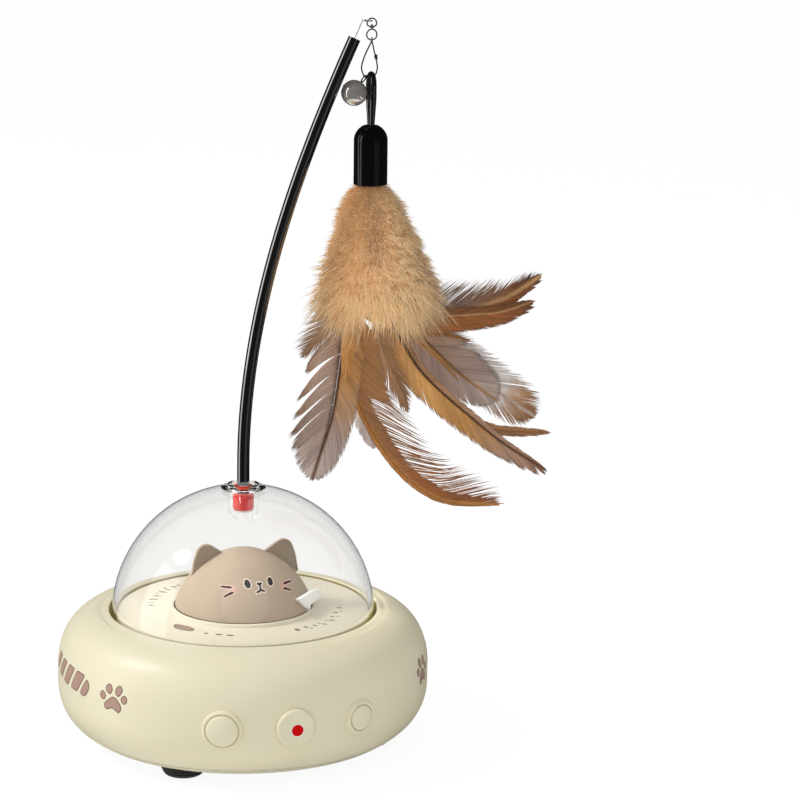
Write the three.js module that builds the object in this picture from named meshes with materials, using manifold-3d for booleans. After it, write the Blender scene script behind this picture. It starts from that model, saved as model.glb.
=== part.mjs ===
// Interactive cat toy: a low round base with a clear turning dome, and a bent wand
// that carries a snap clip, a bell and a feather lure.
// Millimetres, +Z up. Origin: centre of the flat underside, on the turntable's axis.
// The three buttons face -Y and the wand bends towards +X.

import * as THREE from 'three';
import { mergeVertices } from 'three/addons/utils/BufferGeometryUtils.js';
import Module from 'manifold-3d';

const wasm = await Module();
wasm.setup();

// Counts that set how fine the round pieces are
const LARGE_ROUND = 32;
const MEDIUM_ROUND = 16;
const SMALL_ROUND = 8;
const CURVE_STEPS = 6;
const DOME_STEPS = 7;
const CROWN_STEPS = 4;
const EAR_TIP_STEPS = 3;
const WAND_STEPS = 22;
const HOOK_STEPS = 20;
const ARCH_STEPS = 22;
const SNAP_STEPS = 42;
const LOOP_STEPS = 24;
const TUBE_SIDES = 4;
const WIRE_SIDES = 3;
const RING_SIDES = 6;
const RING_ROUND = 12;
const HALVINGS = 30;

// Clearances and general values
const SEAT_GAP = 0.3;
const CUT_OVERRUN = 1;

// Base shell: outline radii and heights
const BASE_RADIUS = 75;
const SHOULDER_WIDTH = 20.8;
const LIP_RADIUS = BASE_RADIUS - SHOULDER_WIDTH;
const LIP_HEIGHT = 48.8;
const BAND_BOTTOM = 19.3;
const BAND_WIDTH = 3.75;
const BAND_TOP = BAND_BOTTOM + BAND_WIDTH;
const SHOULDER_OVERREACH = 0.4;
const SHOULDER_DROP = 1.5;
const SHOULDER_RISE = 6.6;
const LOWER_WIDTH = 11.6;
const FOOT_EDGE_RADIUS = BASE_RADIUS - LOWER_WIDTH;
const LOWER_PULL = 13.5;
const EDGE_PULL_OUT = 1.94;
const EDGE_PULL_UP = 1.41;
const SHELL_WALL = 2.4;
const PARTING_HEIGHT = 2.6;
const LAND_WIDTH = 2.4;
const WELL_WALL = 2;
const WELL_DEPTH = 12.8;
const DECK_THICKNESS = 2;
const DECK_TOP = LIP_HEIGHT - WELL_DEPTH;
const DECK_UNDER = DECK_TOP - DECK_THICKNESS;
const LIP_ROUND = 0.5;

// Turntable: disc, gears, cover plate
const GEAR_LIFT = 1;
const GEAR_THICKNESS = 4;
const DISC_UNDER = DECK_TOP + GEAR_LIFT + GEAR_THICKNESS + SEAT_GAP;
const DISC_THICKNESS = 2;
const DISC_TOP = DISC_UNDER + DISC_THICKNESS;
const DOME_LIP_GAP = 1;
const DOME_RADIUS = LIP_RADIUS - DOME_LIP_GAP;
const DOME_WALL = 1.8;
const GLIDE_INSET = 4.2;
const GLIDE_WIDTH = 4;
const GLIDE_OUTER = DOME_RADIUS - GLIDE_INSET;
const GLIDE_INNER = GLIDE_OUTER - GLIDE_WIDTH;
const GEAR_TEETH = 56;
const PINION_TEETH = 14;
const PINION_INSET = 11.4;
// The pinion's far side reaches to PINION_INSET inside the glide ring, which sets the module
const GEAR_MODULE = (GLIDE_INNER - PINION_INSET) / (GEAR_TEETH / 2 + PINION_TEETH);
const TOOTH_TOP_SHARE = 0.2;
const TOOTH_ROOT_SHARE = 0.62;
const TOOTH_DEPTH_SHARE = 1.25;
const TOOTH_TIP_SHARE = 0.9;
const PLATE_GAP = 0.4;
const PLATE_RADIUS = DOME_RADIUS - DOME_WALL - PLATE_GAP;
const PLATE_HEIGHT = 4.2;
const PLATE_BOTTOM = DISC_TOP + SEAT_GAP;
const PLATE_TOP = PLATE_BOTTOM + PLATE_HEIGHT;
const PLATE_THICKNESS = 1.8;
const PLATE_SKIRT = 1.5;
const HEAD_RADIUS = 27.8;
const HEAD_HEIGHT = 25.3;
const HEAD_WALL = 2;
const HEAD_POWER = 1.75;
const HEAD_CLEARANCE = 0.8;

// Spindle that the turntable turns on
const SPINDLE_RADIUS = 5;
const SPINDLE_DEPTH = 6;
const SPINDLE_PROUD = 0.7;
const SPINDLE_BOTTOM = DECK_UNDER - SPINDLE_DEPTH;
const SPINDLE_TOP = DISC_TOP + SPINDLE_PROUD;
const SPINDLE_SCREW_RADIUS = 1.3;
const SPINDLE_BORE = SPINDLE_SCREW_RADIUS + SEAT_GAP;
const SPINDLE_SCREW_LENGTH = 15.6;
const SPINDLE_HEAD_RADIUS = 3;
const SPINDLE_HEAD_HEIGHT = 2;
const WASHER_OVERHANG = 4;
const WASHER_RADIUS = SPINDLE_RADIUS + WASHER_OVERHANG;
const WASHER_THICKNESS = 1;

// Bottom cover, its feet and screws
const COVER_THICKNESS = PARTING_HEIGHT - SEAT_GAP;
const COVER_RIM_WIDTH = 2;
const COVER_RIM_HEIGHT = 3.7;
const FOOT_INSET = 22.97;
const FOOT_ANGLES = [-132.27, -29, 151, 47.73];
const FOOT_HEIGHT = 5.5;
const FOOT_TOP_RADIUS = 10;
const FOOT_BOTTOM_RADIUS = 7.6;
const FOOT_ROUND = 1.4;
const FOOT_STUD_RADIUS = 3;
const FOOT_STUD_HEIGHT = 1.1;
const SCREW_INSET = 25;
const SCREW_ANGLES = [8, 172, 188, 352];
const SCREW_HEAD_RADIUS = 3;
const SCREW_HEAD_HEIGHT = 1.2;
const SCREW_RECESS = 0.2;
const SCREW_SHAFT_RADIUS = 1.2;
const SCREW_LENGTH = 12;
const POST_WALL = 2;

// Gearmotor under the deck
const GEARBOX_SIDE = 24;
const GEARBOX_HEIGHT = 9;
const MOTOR_RADIUS = 8;
const MOTOR_ABOVE_COVER = 3.7;
const SHAFT_RADIUS = 1.5;
const SHAFT_CLEARANCE = 1;

// Ears on the head: [share of the head's radius from its centre line, share of its height]
const EAR_OUTER_SHARES = [0.806, 0.581];
const EAR_INNER_SHARES = [0.345, 0.921];
const EAR_TIP_SHARES = [0.61, 1.13];
const EAR_TIP_ROUND = 3.6;
const EAR_SETBACK = 4.4;
const EAR_THICKNESS = 5;
const EAR_SINK = 9;

// White locating tab: an upright strip that leaves the head's flank and steps into the plate's notch
const TAB_START_SHARES = [0.676, -0.69];
const TAB_TURN = 51;
const TAB_LENGTH = 20;
const TAB_THICKNESS = 1.6;
const TAB_LIFT = 2.5;
const TAB_BOTTOM = PLATE_TOP + TAB_LIFT;
const TAB_HEIGHT = 4.4;
const TAB_LEG = 4.6;

// Wand's section, the plug round it and the socket round the plug
const CORE_RADIUS = 0.35;
const SLEEVE_BORE = CORE_RADIUS + SEAT_GAP;
const SLEEVE_WALL = 1.75;
const SLEEVE_RADIUS = SLEEVE_BORE + SLEEVE_WALL;
const PLUG_WALL = 1.5;
const PLUG_RADIUS = SLEEVE_RADIUS + SEAT_GAP + PLUG_WALL;
const PLUG_CHAMFER = 1.2;
const PLUG_FLOOR = 1.6;
const SOCKET_BORE = PLUG_RADIUS + SEAT_GAP;
const SOCKET_WALL = 2;
const SOCKET_RADIUS = SOCKET_BORE + SOCKET_WALL;
const SOCKET_FOOT_WIDTH = 2.5;
const SOCKET_FOOT_RADIUS = SOCKET_RADIUS + SOCKET_FOOT_WIDTH;
const SOCKET_FOOT_THICKNESS = 1;
const SOCKET_CUP_TAPER = 0.5;

// Heights of the clear dome and the wand's socket
const DOME_SINK = 2.5;
const DOME_CENTRE = PLATE_TOP - DOME_SINK;
const SOCKET_PROUD = 1.7;
const SOCKET_TOP = DOME_CENTRE + DOME_RADIUS + SOCKET_PROUD;
const SOCKET_DEPTH = 11.4;
const SOCKET_FLOOR = SOCKET_TOP - SOCKET_DEPTH;
const SOCKET_POINT = 3.1;
const SOCKET_BOTTOM = SOCKET_FLOOR - SOCKET_POINT;
const PLUG_SINK = 1;
const PLUG_TOP = SOCKET_TOP - PLUG_SINK;

// Wand's route
const WAND_STRAIGHT = 14.8;
const WAND_STRAIGHT_TOP = SOCKET_TOP + WAND_STRAIGHT;
const WAND_LIFT = 60;
const WAND_REACH = 44.7;
const WAND_RISE = 161.8;
const WAND_TIP = { x: WAND_REACH, z: WAND_STRAIGHT_TOP + WAND_RISE };
const WAND_TIP_PULL = { x: 25.2, z: 54.4 };

// Swivel, snap clip and bell, all on the lure's axis at x = LURE_X
const HOOK_REACH = 7.7;
const LURE_X = WAND_REACH + HOOK_REACH;
const HOOK_RISE = 7.5;
const HOOK_HEIGHT = WAND_TIP.z + HOOK_RISE;
const HOOK_RADIUS = 2.2;
const HOOK_START = -150;
const HOOK_SWEEP = 285;
const FINE_WIRE = 0.28;
const EYE_HALF_WIDTH = 1.95;
const EYE_DROP = 2.8;
const STUD_RADIUS = 0.25;
const STUD_CLEARANCE = 0.25;
const STUD_HEAD_RADIUS = 0.6;
const STUD_HEAD_HEIGHT = 0.35;
const COLLAR_BORE = STUD_RADIUS + STUD_CLEARANCE;
const COLLAR_WALL = 0.45;
const COLLAR_RADIUS = COLLAR_BORE + COLLAR_WALL;
const COLLAR_BOTTOM = HOOK_HEIGHT - EYE_DROP;
const COLLAR_HEIGHT = 0.6;
const RING_RADIUS = 2.1;
const RING_CENTRE = COLLAR_BOTTOM - SEAT_GAP - FINE_WIRE - RING_RADIUS;
const SNAP_TOP = RING_CENTRE - RING_RADIUS + 2 * FINE_WIRE + SEAT_GAP;
const SNAP_HEIGHT = 15.98;
const SNAP_BOTTOM = SNAP_TOP - SNAP_HEIGHT;
const SNAP_REACH = 4.1;
const SNAP_ASIDE = 0.75;
// The snap's wire from its knot over the ring and round the clip: shares of the reach across,
// of the stagger of its two legs, and of its height
const SNAP_SHARES = [[0.49, 1, 0.5], [0.32, 1, 0.66], [0.2, 1.1, 0.8], [0.08, 1.3, 0.93], [0, 0, 1],
  [-0.1, -1.3, 0.93], [-0.33, -0.8, 0.78], [-0.63, 0, 0.6], [-0.93, 0, 0.38], [-1, 0, 0.24],
  [-0.85, 0, 0.12], [-0.65, 0, 0.035], [-0.07, 0, 0], [0.37, 0, 0.07], [0.59, 0, 0.24],
  [0.54, 0, 0.38]];
const BELL_RADIUS = 5.3;
const BELL_WALL = 0.5;
// The bell's centre: beside the lure's axis and below the snap's lowest turn
const BELL_ASIDE = 7.1;
const BELL_DROP = 5.6;
const BELL_TILT = 36;
const BELL_SLOT = 1.5;
const BELL_EYE_RADIUS = 1.6;
const PELLET_RADIUS = 1.8;

// Lure: loop, cap, fluff and feathers
const LOOP_RADIUS = 1.2;
const LOOP_HALF_WIDTH = 2.3;
const LOOP_LEG_GAP = 0.18;
const LOOP_NECK = LOOP_RADIUS + LOOP_LEG_GAP;
const LOOP_HEIGHT = 18.7;
const CAP_RADIUS = 6.75;
const CAP_LENGTH = 23.6;
const CAP_TOP = SNAP_BOTTOM - LOOP_HEIGHT;
const CAP_BOTTOM = CAP_TOP - CAP_LENGTH;
const CAP_WALL = 1.2;
const CAP_CROWN = 6;
const CAP_CROWN_SHARE = 0.72;
const CAP_HOLE = LOOP_NECK + LOOP_RADIUS + SEAT_GAP;
const FLUFF_NECK = CAP_RADIUS - CAP_WALL - SEAT_GAP;
const FLUFF_LENGTH = 60;
const FLUFF_RADIUS = 22.6;
const FLUFF_LEAN = 4.5;
const FLUFF_DEPTH_SHARE = 0.86;
// The fluff's outline below the cap: [share of its length, share of its radius]
const FLUFF_SHARES = [[0.015, 0.275], [0.09, 0.465], [0.22, 0.6], [0.37, 0.735], [0.52, 0.86],
  [0.69, 0.975], [0.82, 1], [0.92, 0.775], [0.98, 0.4]];
const FAN_REACH = 70;
const FAN_BELOW_FLUFF = 70;
const FAN_DROP = FLUFF_LENGTH + FAN_BELOW_FLUFF;
const FAN_DEPTH = 12;
const VANE_WIDTH = 13.5;
const FEATHER_THICKNESS = 1;
const FEATHER_STATIONS = 9;
const FEATHER_ROOT_SHARE = 0.22;
const QUILL_SHARE = 0.05;
// The fan of feathers lies in a plane turned this much from the XZ plane
const FAN_TURN = -15.5;

// Electrics
const CELL_RADIUS = 9;
const CELL_LENGTH = 65;
const CELL_Y = -22;
const BOARD_THICKNESS = 1.6;
const BOARD_WIDTH = 24;
const BOARD_LENGTH = 22.3;
const BOARD_INSET = 6.7;
const BOARD_REAR = BASE_RADIUS - BOARD_INSET;
const BOARD_FRONT = BOARD_REAR - BOARD_LENGTH;
const STANDOFF_HEIGHT = 7.4;
const BOARD_HEIGHT = COVER_THICKNESS + STANDOFF_HEIGHT + SEAT_GAP;
const STANDOFF_RADIUS = 2.5;
const STANDOFF_X = 8;
const STANDOFF_PLACES = [4, 12];
const USB_WIDTH = 9;
const USB_HEIGHT = 3.2;
const USB_INSET = 3.8;
const USB_REAR = BASE_RADIUS - USB_INSET;
const USB_LENGTH = 7.3;
const USB_OPENING_GAP = 0.4;
const USB_WALL = 0.4;
const USB_DEPTH = 6;

// Buttons: angles about the Z axis, radii of their caps
const BUTTON_ABOVE_BAND = 2.4;
const BUTTON_HEIGHT = BAND_BOTTOM + BUTTON_ABOVE_BAND;
const BUTTON_SPACING = 21.7;
const BUTTON_PROUD = 1.3;
const BUTTON_EDGE = 0.7;
const BEZEL_PROUD = 1;
const BEZEL_NECK = 0.6;
const BUTTON_FLANGE = 1;
const BUTTON_FLANGE_WIDTH = 0.8;
const BUTTON_SETBACK = 1.1;
const BUTTON_INSIDE = BASE_RADIUS - SHELL_WALL - BUTTON_SETBACK;
const BUTTON_STEM = 2;
const SWITCH_BOARD_INSET = 15;
const SWITCH_BOARD_RADIUS = BASE_RADIUS - SWITCH_BOARD_INSET;
const SWITCH_BOARD_THICKNESS = 1.2;
const SWITCH_BOARD_WIDTH = 12;
const SWITCH_BOARD_RISE = 6.3;
const SWITCH_BOARD_TOP = BUTTON_HEIGHT + SWITCH_BOARD_RISE;
const SWITCH_SIDE = 6;
const SWITCH_DEPTH = 3.4;
const PLUNGER_RADIUS = 1.6;
const PLUNGER_LENGTH = 1;
const STEM_CLEARANCE = 0.8;
const BUTTONS = [
  { side: 'left', turn: -BUTTON_SPACING, cap: 6.4, bezel: 8, dish: -0.7 },
  { side: 'middle', turn: 0, cap: 7.65, bezel: 0, dish: 0.6 },
  { side: 'right', turn: BUTTON_SPACING, cap: 5, bezel: 7.25, dish: -0.5 },
];

// Feathers of the lure, as shares. A quill's points are [share of FAN_REACH to the fan's right,
// share of FAN_DROP below the cap]; a vane's upper and lower widths are shares of VANE_WIDTH;
// layer is the feather's depth and bow how far its tip leans out of it, shares of FAN_DEPTH.
const FEATHERS = [
  { name: 'feather_centre', quillShares: [[-0.115, 0.395], [-0.12, 0.47], [-0.145, 0.6]],
    vaneShares: [0.25, 0.25], tipPower: 2, layerShare: -0.835, bowShare: -0.335 },
  { name: 'feather_left', quillShares: [[-0.135, 0.42], [-0.17, 0.55], [-0.22, 0.725], [-0.365, 0.935]],
    vaneShares: [0.7, 0.95], tipPower: 7, layerShare: -0.54, bowShare: -1 },
  { name: 'feather_lowest', quillShares: [[-0.055, 0.395], [-0.07, 0.64], [0.005, 0.755],
    [0.135, 0.865], [0.285, 0.945], [0.47, 0.995], [0.765, 1]],
    vaneShares: [1, 0.1], tipPower: 4, layerShare: -0.25, bowShare: -0.415 },
  { name: 'feather_long', quillShares: [[0.085, 0.395], [0.265, 0.555], [0.485, 0.69],
    [0.715, 0.775], [1, 0.9]],
    vaneShares: [0.3, 0.45], tipPower: 4, layerShare: 0.04, bowShare: 0.085 },
  { name: 'feather_right', quillShares: [[0.215, 0.42], [0.425, 0.41], [0.58, 0.425],
    [0.75, 0.395], [0.955, 0.3]],
    vaneShares: [0.55, 0.35], tipPower: 4, layerShare: 0.335, bowShare: 0.25 },
  { name: 'feather_broad', quillShares: [[0.2, 0.425], [0.325, 0.49], [0.525, 0.59], [0.73, 0.68]],
    vaneShares: [0.65, 0.6], tipPower: 6, layerShare: 0.585, bowShare: 0.585 },
  { name: 'feather_pale', quillShares: [[0.23, 0.425], [0.445, 0.52], [0.715, 0.635], [0.995, 0.75]],
    vaneShares: [0.7, 0.5], tipPower: 6, layerShare: 0.915, bowShare: 0.75 },
  { name: 'feather_small', quillShares: [[-0.055, 0.42], [-0.065, 0.61], [-0.03, 0.75], [0.025, 0.835]],
    vaneShares: [0.35, 0.35], tipPower: 4, layerShare: 0.665, bowShare: 0.5 },
];

// Finishes
const CREAM = { color: 0xf3eed6, roughness: 0.42, metalness: 0 };
const DARK_CREAM = { color: 0xe9e2c6, roughness: 0.5, metalness: 0 };
const TAUPE = { color: 0xc8b29b, roughness: 0.75, metalness: 0 };
const DARK_TAUPE = { color: 0x9a8a78, roughness: 0.75, metalness: 0 };
const CLEAR = { color: 0xe8f0f2, roughness: 0.05, metalness: 0, transparent: true, opacity: 0.3 };
const WHITE = { color: 0xf6f6f2, roughness: 0.4, metalness: 0 };
const RED = { color: 0xd8281a, roughness: 0.5, metalness: 0 };
const GLOSS_BLACK = { color: 0x0b0b0b, roughness: 0.2, metalness: 0 };
const RUBBER_BLACK = { color: 0x181818, roughness: 0.8, metalness: 0 };
const STEEL = { color: 0xb9bcc0, roughness: 0.3, metalness: 1 };
const BELL_METAL = { color: 0xd9dadd, roughness: 0.12, metalness: 1 };
const NYLON = { color: 0xe6e4dc, roughness: 0.6, metalness: 0 };
const GREEN_BOARD = { color: 0x1f6a3a, roughness: 0.5, metalness: 0 };
const CELL_WRAP = { color: 0x2f6fb0, roughness: 0.5, metalness: 0 };
const TAN_FLUFF = { color: 0xd8ab78, roughness: 0.95, metalness: 0 };
const BROWN_FEATHER = { color: 0x9b6436, roughness: 0.8, metalness: 0 };
const GREY_FEATHER = { color: 0x9c8679, roughness: 0.8, metalness: 0 };

const toy = new THREE.Group();

// Adding meshes
function addMesh(name, geometry, finish, parent = toy) {
  const mesh = new THREE.Mesh(facingOut(geometry), new THREE.MeshStandardMaterial(finish));
  mesh.name = name;
  parent.add(mesh);
  return mesh;
}

// Closed solids from three.js geometries
function positionsOnly(geometry) {
  const plain = geometry.clone();
  for (const name of Object.keys(plain.attributes)) {
    if (name !== 'position') plain.deleteAttribute(name);
  }
  const merged = mergeVertices(plain);
  const kept = [];
  const index = merged.getIndex().array;
  for (let i = 0; i < index.length; i += 3) {
    const [a, b, c] = [index[i], index[i + 1], index[i + 2]];
    if (a !== b && b !== c && a !== c) kept.push(a, b, c);
  }
  merged.setIndex(kept);
  return merged;
}

function signedVolume(geometry) {
  const place = geometry.getAttribute('position');
  const index = geometry.getIndex().array;
  const corners = [new THREE.Vector3(), new THREE.Vector3(), new THREE.Vector3()];
  let sum = 0;
  for (let i = 0; i < index.length; i += 3) {
    corners.forEach((corner, k) => corner.fromBufferAttribute(place, index[i + k]));
    sum += corners[0].dot(corners[1].clone().cross(corners[2]));
  }
  return sum;
}

function facingOut(geometry) {
  const solid = positionsOnly(geometry);
  if (signedVolume(solid) < 0) {
    const index = Array.from(solid.getIndex().array);
    for (let i = 0; i < index.length; i += 3) {
      [index[i + 1], index[i + 2]] = [index[i + 2], index[i + 1]];
    }
    solid.setIndex(index);
  }
  return solid;
}

function toManifold(geometry) {
  const solid = facingOut(geometry);
  return new wasm.Manifold(new wasm.Mesh({
    numProp: 3,
    vertProperties: new Float32Array(solid.getAttribute('position').array),
    triVerts: new Uint32Array(solid.getIndex().array),
  }));
}

function fromManifold(manifold) {
  const { vertProperties, triVerts } = manifold.getMesh();
  const geometry = new THREE.BufferGeometry();
  geometry.setAttribute('position', new THREE.BufferAttribute(new Float32Array(vertProperties), 3));
  geometry.setIndex(Array.from(triVerts));
  return geometry;
}

function joined(first, ...others) {
  return fromManifold(others.reduce((all, next) => all.add(toManifold(next)), toManifold(first)));
}

function cutBy(body, ...tools) {
  return fromManifold(tools.reduce((rest, tool) => rest.subtract(toManifold(tool)), toManifold(body)));
}

// Shapes
function lathe(profile, segments) {
  const geometry = new THREE.LatheGeometry(profile.map(([r, z]) => new THREE.Vector2(r, z)), segments);
  return geometry.rotateX(Math.PI / 2);
}

function ringLathe(profile, segments) {
  return lathe([...profile, profile[0]], segments);
}

function disc(radius, bottom, top, segments) {
  return lathe([[0, bottom], [radius, bottom], [radius, top], [0, top]], segments);
}

function washer(inner, outer, bottom, top, segments) {
  return ringLathe([[inner, bottom], [outer, bottom], [outer, top], [inner, top]], segments);
}

function block(width, depth, height, x, y, bottom) {
  return new THREE.BoxGeometry(width, depth, height).translate(x, y, bottom + height / 2);
}

function prism(shape, bottom, height, segments = SMALL_ROUND) {
  const options = { depth: height, bevelEnabled: false, curveSegments: segments };
  return new THREE.ExtrudeGeometry(shape, options).translate(0, 0, bottom);
}

function circleShape(radius) {
  const shape = new THREE.Shape();
  shape.absarc(0, 0, radius, 0, 2 * Math.PI);
  return shape;
}

function rod(curve, radius, steps, sides, bore = 0) {
  const section = circleShape(radius);
  if (bore > 0) section.holes.push(circleShape(bore));
  const options = { extrudePath: curve, steps, curveSegments: sides, bevelEnabled: false };
  return new THREE.ExtrudeGeometry(section, options);
}

function smoothCurve(points) {
  return new THREE.CatmullRomCurve3(points.map(([x, y, z]) => new THREE.Vector3(x, y, z)));
}

function radians(degrees) {
  return THREE.MathUtils.degToRad(degrees);
}

// Base outline: a shoulder curve from the lip to the band, and a lower curve to the bottom edge
const shoulder = new THREE.CubicBezierCurve(
  new THREE.Vector2(LIP_RADIUS, LIP_HEIGHT),
  new THREE.Vector2(BASE_RADIUS + SHOULDER_OVERREACH, LIP_HEIGHT - SHOULDER_DROP),
  new THREE.Vector2(BASE_RADIUS, BAND_TOP + SHOULDER_RISE),
  new THREE.Vector2(BASE_RADIUS, BAND_TOP));
const lowerCurve = new THREE.CubicBezierCurve(
  new THREE.Vector2(BASE_RADIUS, BAND_BOTTOM),
  new THREE.Vector2(BASE_RADIUS, BAND_BOTTOM - LOWER_PULL),
  new THREE.Vector2(FOOT_EDGE_RADIUS + EDGE_PULL_OUT, EDGE_PULL_UP),
  new THREE.Vector2(FOOT_EDGE_RADIUS, 0));

function offsetInward(curve, count, wall) {
  const points = [];
  for (let i = 0; i <= count; i += 1) {
    const point = curve.getPoint(i / count);
    const along = curve.getTangent(i / count);
    points.push([point.x + along.y * wall, point.y - along.x * wall]);
  }
  return points;
}

function outlineAbove(points, height) {
  return points.filter(([, z]) => z > height);
}

function shellProfile() {
  const wellOuter = LIP_RADIUS + WELL_WALL;
  const shoulderPoints = shoulder.getPoints(CURVE_STEPS + 1).slice(1).map((p) => [p.x, p.y]);
  const lowerPoints = outlineAbove(lowerCurve.getPoints(CURVE_STEPS).map((p) => [p.x, p.y]),
    PARTING_HEIGHT);
  const partingRadius = radiusAtHeight(PARTING_HEIGHT);
  const innerLower = outlineAbove(offsetInward(lowerCurve, CURVE_STEPS, SHELL_WALL),
    PARTING_HEIGHT + SHELL_WALL).reverse();
  const innerShoulder = offsetInward(shoulder, CURVE_STEPS, SHELL_WALL).reverse()
    .filter(([r]) => r > wellOuter + WELL_WALL);
  return [
    [SPINDLE_BORE, SPINDLE_BOTTOM], [SPINDLE_BORE, SPINDLE_TOP], [SPINDLE_RADIUS, SPINDLE_TOP],
    [SPINDLE_RADIUS, DECK_TOP], [LIP_RADIUS, DECK_TOP],
    [LIP_RADIUS, LIP_HEIGHT - LIP_ROUND], [LIP_RADIUS + LIP_ROUND, LIP_HEIGHT],
    ...shoulderPoints, ...lowerPoints,
    [partingRadius, PARTING_HEIGHT], [partingRadius - LAND_WIDTH, PARTING_HEIGHT],
    ...innerLower, ...innerShoulder,
    [wellOuter, innerShoulder.at(-1)[1]], [wellOuter, DECK_UNDER],
    [SPINDLE_RADIUS, DECK_UNDER], [SPINDLE_RADIUS, SPINDLE_BOTTOM],
  ];
}

// Radius of the lower outline at a height, found by halving the curve
function radiusAtHeight(height) {
  let [low, high] = [0, 1];
  for (let step = 0; step < HALVINGS; step += 1) {
    const middle = (low + high) / 2;
    if (lowerCurve.getPoint(middle).y > height) low = middle;
    else high = middle;
  }
  return lowerCurve.getPoint(low).x;
}

// A cutter along the axis of a button, from inside the shell to outside it
function radialCutter(radius, turn) {
  return disc(radius, BUTTON_INSIDE - SHELL_WALL, BASE_RADIUS + CUT_OVERRUN, MEDIUM_ROUND)
    .rotateX(Math.PI / 2)
    .translate(0, 0, BUTTON_HEIGHT)
    .rotateZ(radians(turn));
}

function screwPlaces() {
  const circle = BASE_RADIUS - SCREW_INSET;
  return SCREW_ANGLES.map((angle) => [circle * Math.cos(radians(angle)),
    circle * Math.sin(radians(angle))]);
}

function buttonHole(button) {
  const neck = button.bezel > 0 ? SEAT_GAP + BEZEL_NECK : 0;
  return button.cap + neck + SEAT_GAP;
}

function usbSection(extra) {
  const radius = USB_HEIGHT / 2 + extra;
  const half = (USB_WIDTH - USB_HEIGHT) / 2;
  const shape = new THREE.Shape();
  shape.absarc(half, 0, radius, -Math.PI / 2, Math.PI / 2);
  shape.absarc(-half, 0, radius, Math.PI / 2, 1.5 * Math.PI);
  return shape;
}

const usbCentreHeight = BOARD_HEIGHT + BOARD_THICKNESS + SEAT_GAP + USB_HEIGHT / 2;

// A prism of the socket's section along Y, between two distances from the axis
function usbPrism(extra, front, rear) {
  return prism(usbSection(extra), 0, rear - front).rotateX(-Math.PI / 2)
    .translate(0, front, usbCentreHeight);
}

function makeBase() {
  const bore = SCREW_SHAFT_RADIUS + SEAT_GAP;
  const posts = screwPlaces().map(([x, y]) => disc(bore + POST_WALL, PARTING_HEIGHT,
    DECK_UNDER + WELL_WALL / 2, SMALL_ROUND).translate(x, y, 0));
  const bores = screwPlaces().map(([x, y]) => disc(bore, 0, SCREW_LENGTH + PARTING_HEIGHT,
    SMALL_ROUND).translate(x, y, 0));
  const holes = BUTTONS.map((button) => radialCutter(buttonHole(button), button.turn));
  const shaftHole = disc(SHAFT_RADIUS + SHAFT_CLEARANCE, DECK_UNDER - CUT_OVERRUN,
    DECK_TOP + CUT_OVERRUN, SMALL_ROUND).translate(0, gearCentres(), 0);
  const usbHole = usbPrism(USB_OPENING_GAP, BOARD_REAR, BASE_RADIUS + CUT_OVERRUN);
  const shell = joined(ringLathe(shellProfile(), LARGE_ROUND), ...posts);
  addMesh('base_shell', cutBy(shell, ...bores, ...holes, shaftHole, usbHole), CREAM);
  makeCover();
  makeFeet();
}

function makeCover() {
  const edge = radiusAtHeight(PARTING_HEIGHT - SEAT_GAP);
  const rimOuter = radiusAtHeight(PARTING_HEIGHT) - LAND_WIDTH - SEAT_GAP;
  const rimTop = COVER_THICKNESS + COVER_RIM_HEIGHT;
  const edgePoints = lowerCurve.getPoints(2 * CURVE_STEPS).map((p) => [p.x, p.y])
    .filter(([, z]) => z < COVER_THICKNESS).reverse();
  const profile = [[0, 0], ...edgePoints, [edge, COVER_THICKNESS], [rimOuter, COVER_THICKNESS],
    [rimOuter, rimTop], [rimOuter - COVER_RIM_WIDTH, rimTop],
    [rimOuter - COVER_RIM_WIDTH, COVER_THICKNESS], [0, COVER_THICKNESS]];
  const standoffs = [];
  for (const place of STANDOFF_PLACES) {
    for (const side of [-1, 1]) {
      standoffs.push(disc(STANDOFF_RADIUS, COVER_THICKNESS - CUT_OVERRUN, BOARD_HEIGHT - SEAT_GAP,
        SMALL_ROUND).translate(side * STANDOFF_X, BOARD_FRONT + place, 0));
    }
  }
  const headHoles = screwPlaces().map(([x, y]) => disc(SCREW_HEAD_RADIUS + SEAT_GAP, -CUT_OVERRUN,
    SCREW_RECESS + SCREW_HEAD_HEIGHT + SEAT_GAP, SMALL_ROUND).translate(x, y, 0));
  const shaftHoles = screwPlaces().map(([x, y]) => disc(SCREW_SHAFT_RADIUS + SEAT_GAP, 0,
    COVER_THICKNESS + CUT_OVERRUN, SMALL_ROUND).translate(x, y, 0));
  const studHoles = footPlaces().map(({ x, y }) => disc(FOOT_STUD_RADIUS + SEAT_GAP, -CUT_OVERRUN,
    FOOT_STUD_HEIGHT + SEAT_GAP, SMALL_ROUND).translate(x, y, 0));
  const cover = joined(lathe(profile, LARGE_ROUND), ...standoffs);
  addMesh('bottom_cover', cutBy(cover, ...headHoles, ...shaftHoles, ...studHoles), CREAM);
  screwPlaces().forEach(([x, y], i) => {
    const shoulderHeight = SCREW_RECESS + SCREW_HEAD_HEIGHT;
    const screw = lathe([[0, SCREW_RECESS], [SCREW_HEAD_RADIUS, SCREW_RECESS],
      [SCREW_HEAD_RADIUS, shoulderHeight], [SCREW_SHAFT_RADIUS, shoulderHeight],
      [SCREW_SHAFT_RADIUS, SCREW_RECESS + SCREW_LENGTH], [0, SCREW_RECESS + SCREW_LENGTH]], SMALL_ROUND);
    addMesh(`cover_screw_${i + 1}`, screw, STEEL).position.set(x, y, 0);
  });
}

function footPlaces() {
  const circle = BASE_RADIUS - FOOT_INSET;
  const names = ['foot_front_left', 'foot_front_right', 'foot_rear_left', 'foot_rear_right'];
  return FOOT_ANGLES.map((angle, i) => ({
    name: names[i],
    x: circle * Math.cos(radians(angle)),
    y: circle * Math.sin(radians(angle)),
  }));
}

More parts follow.
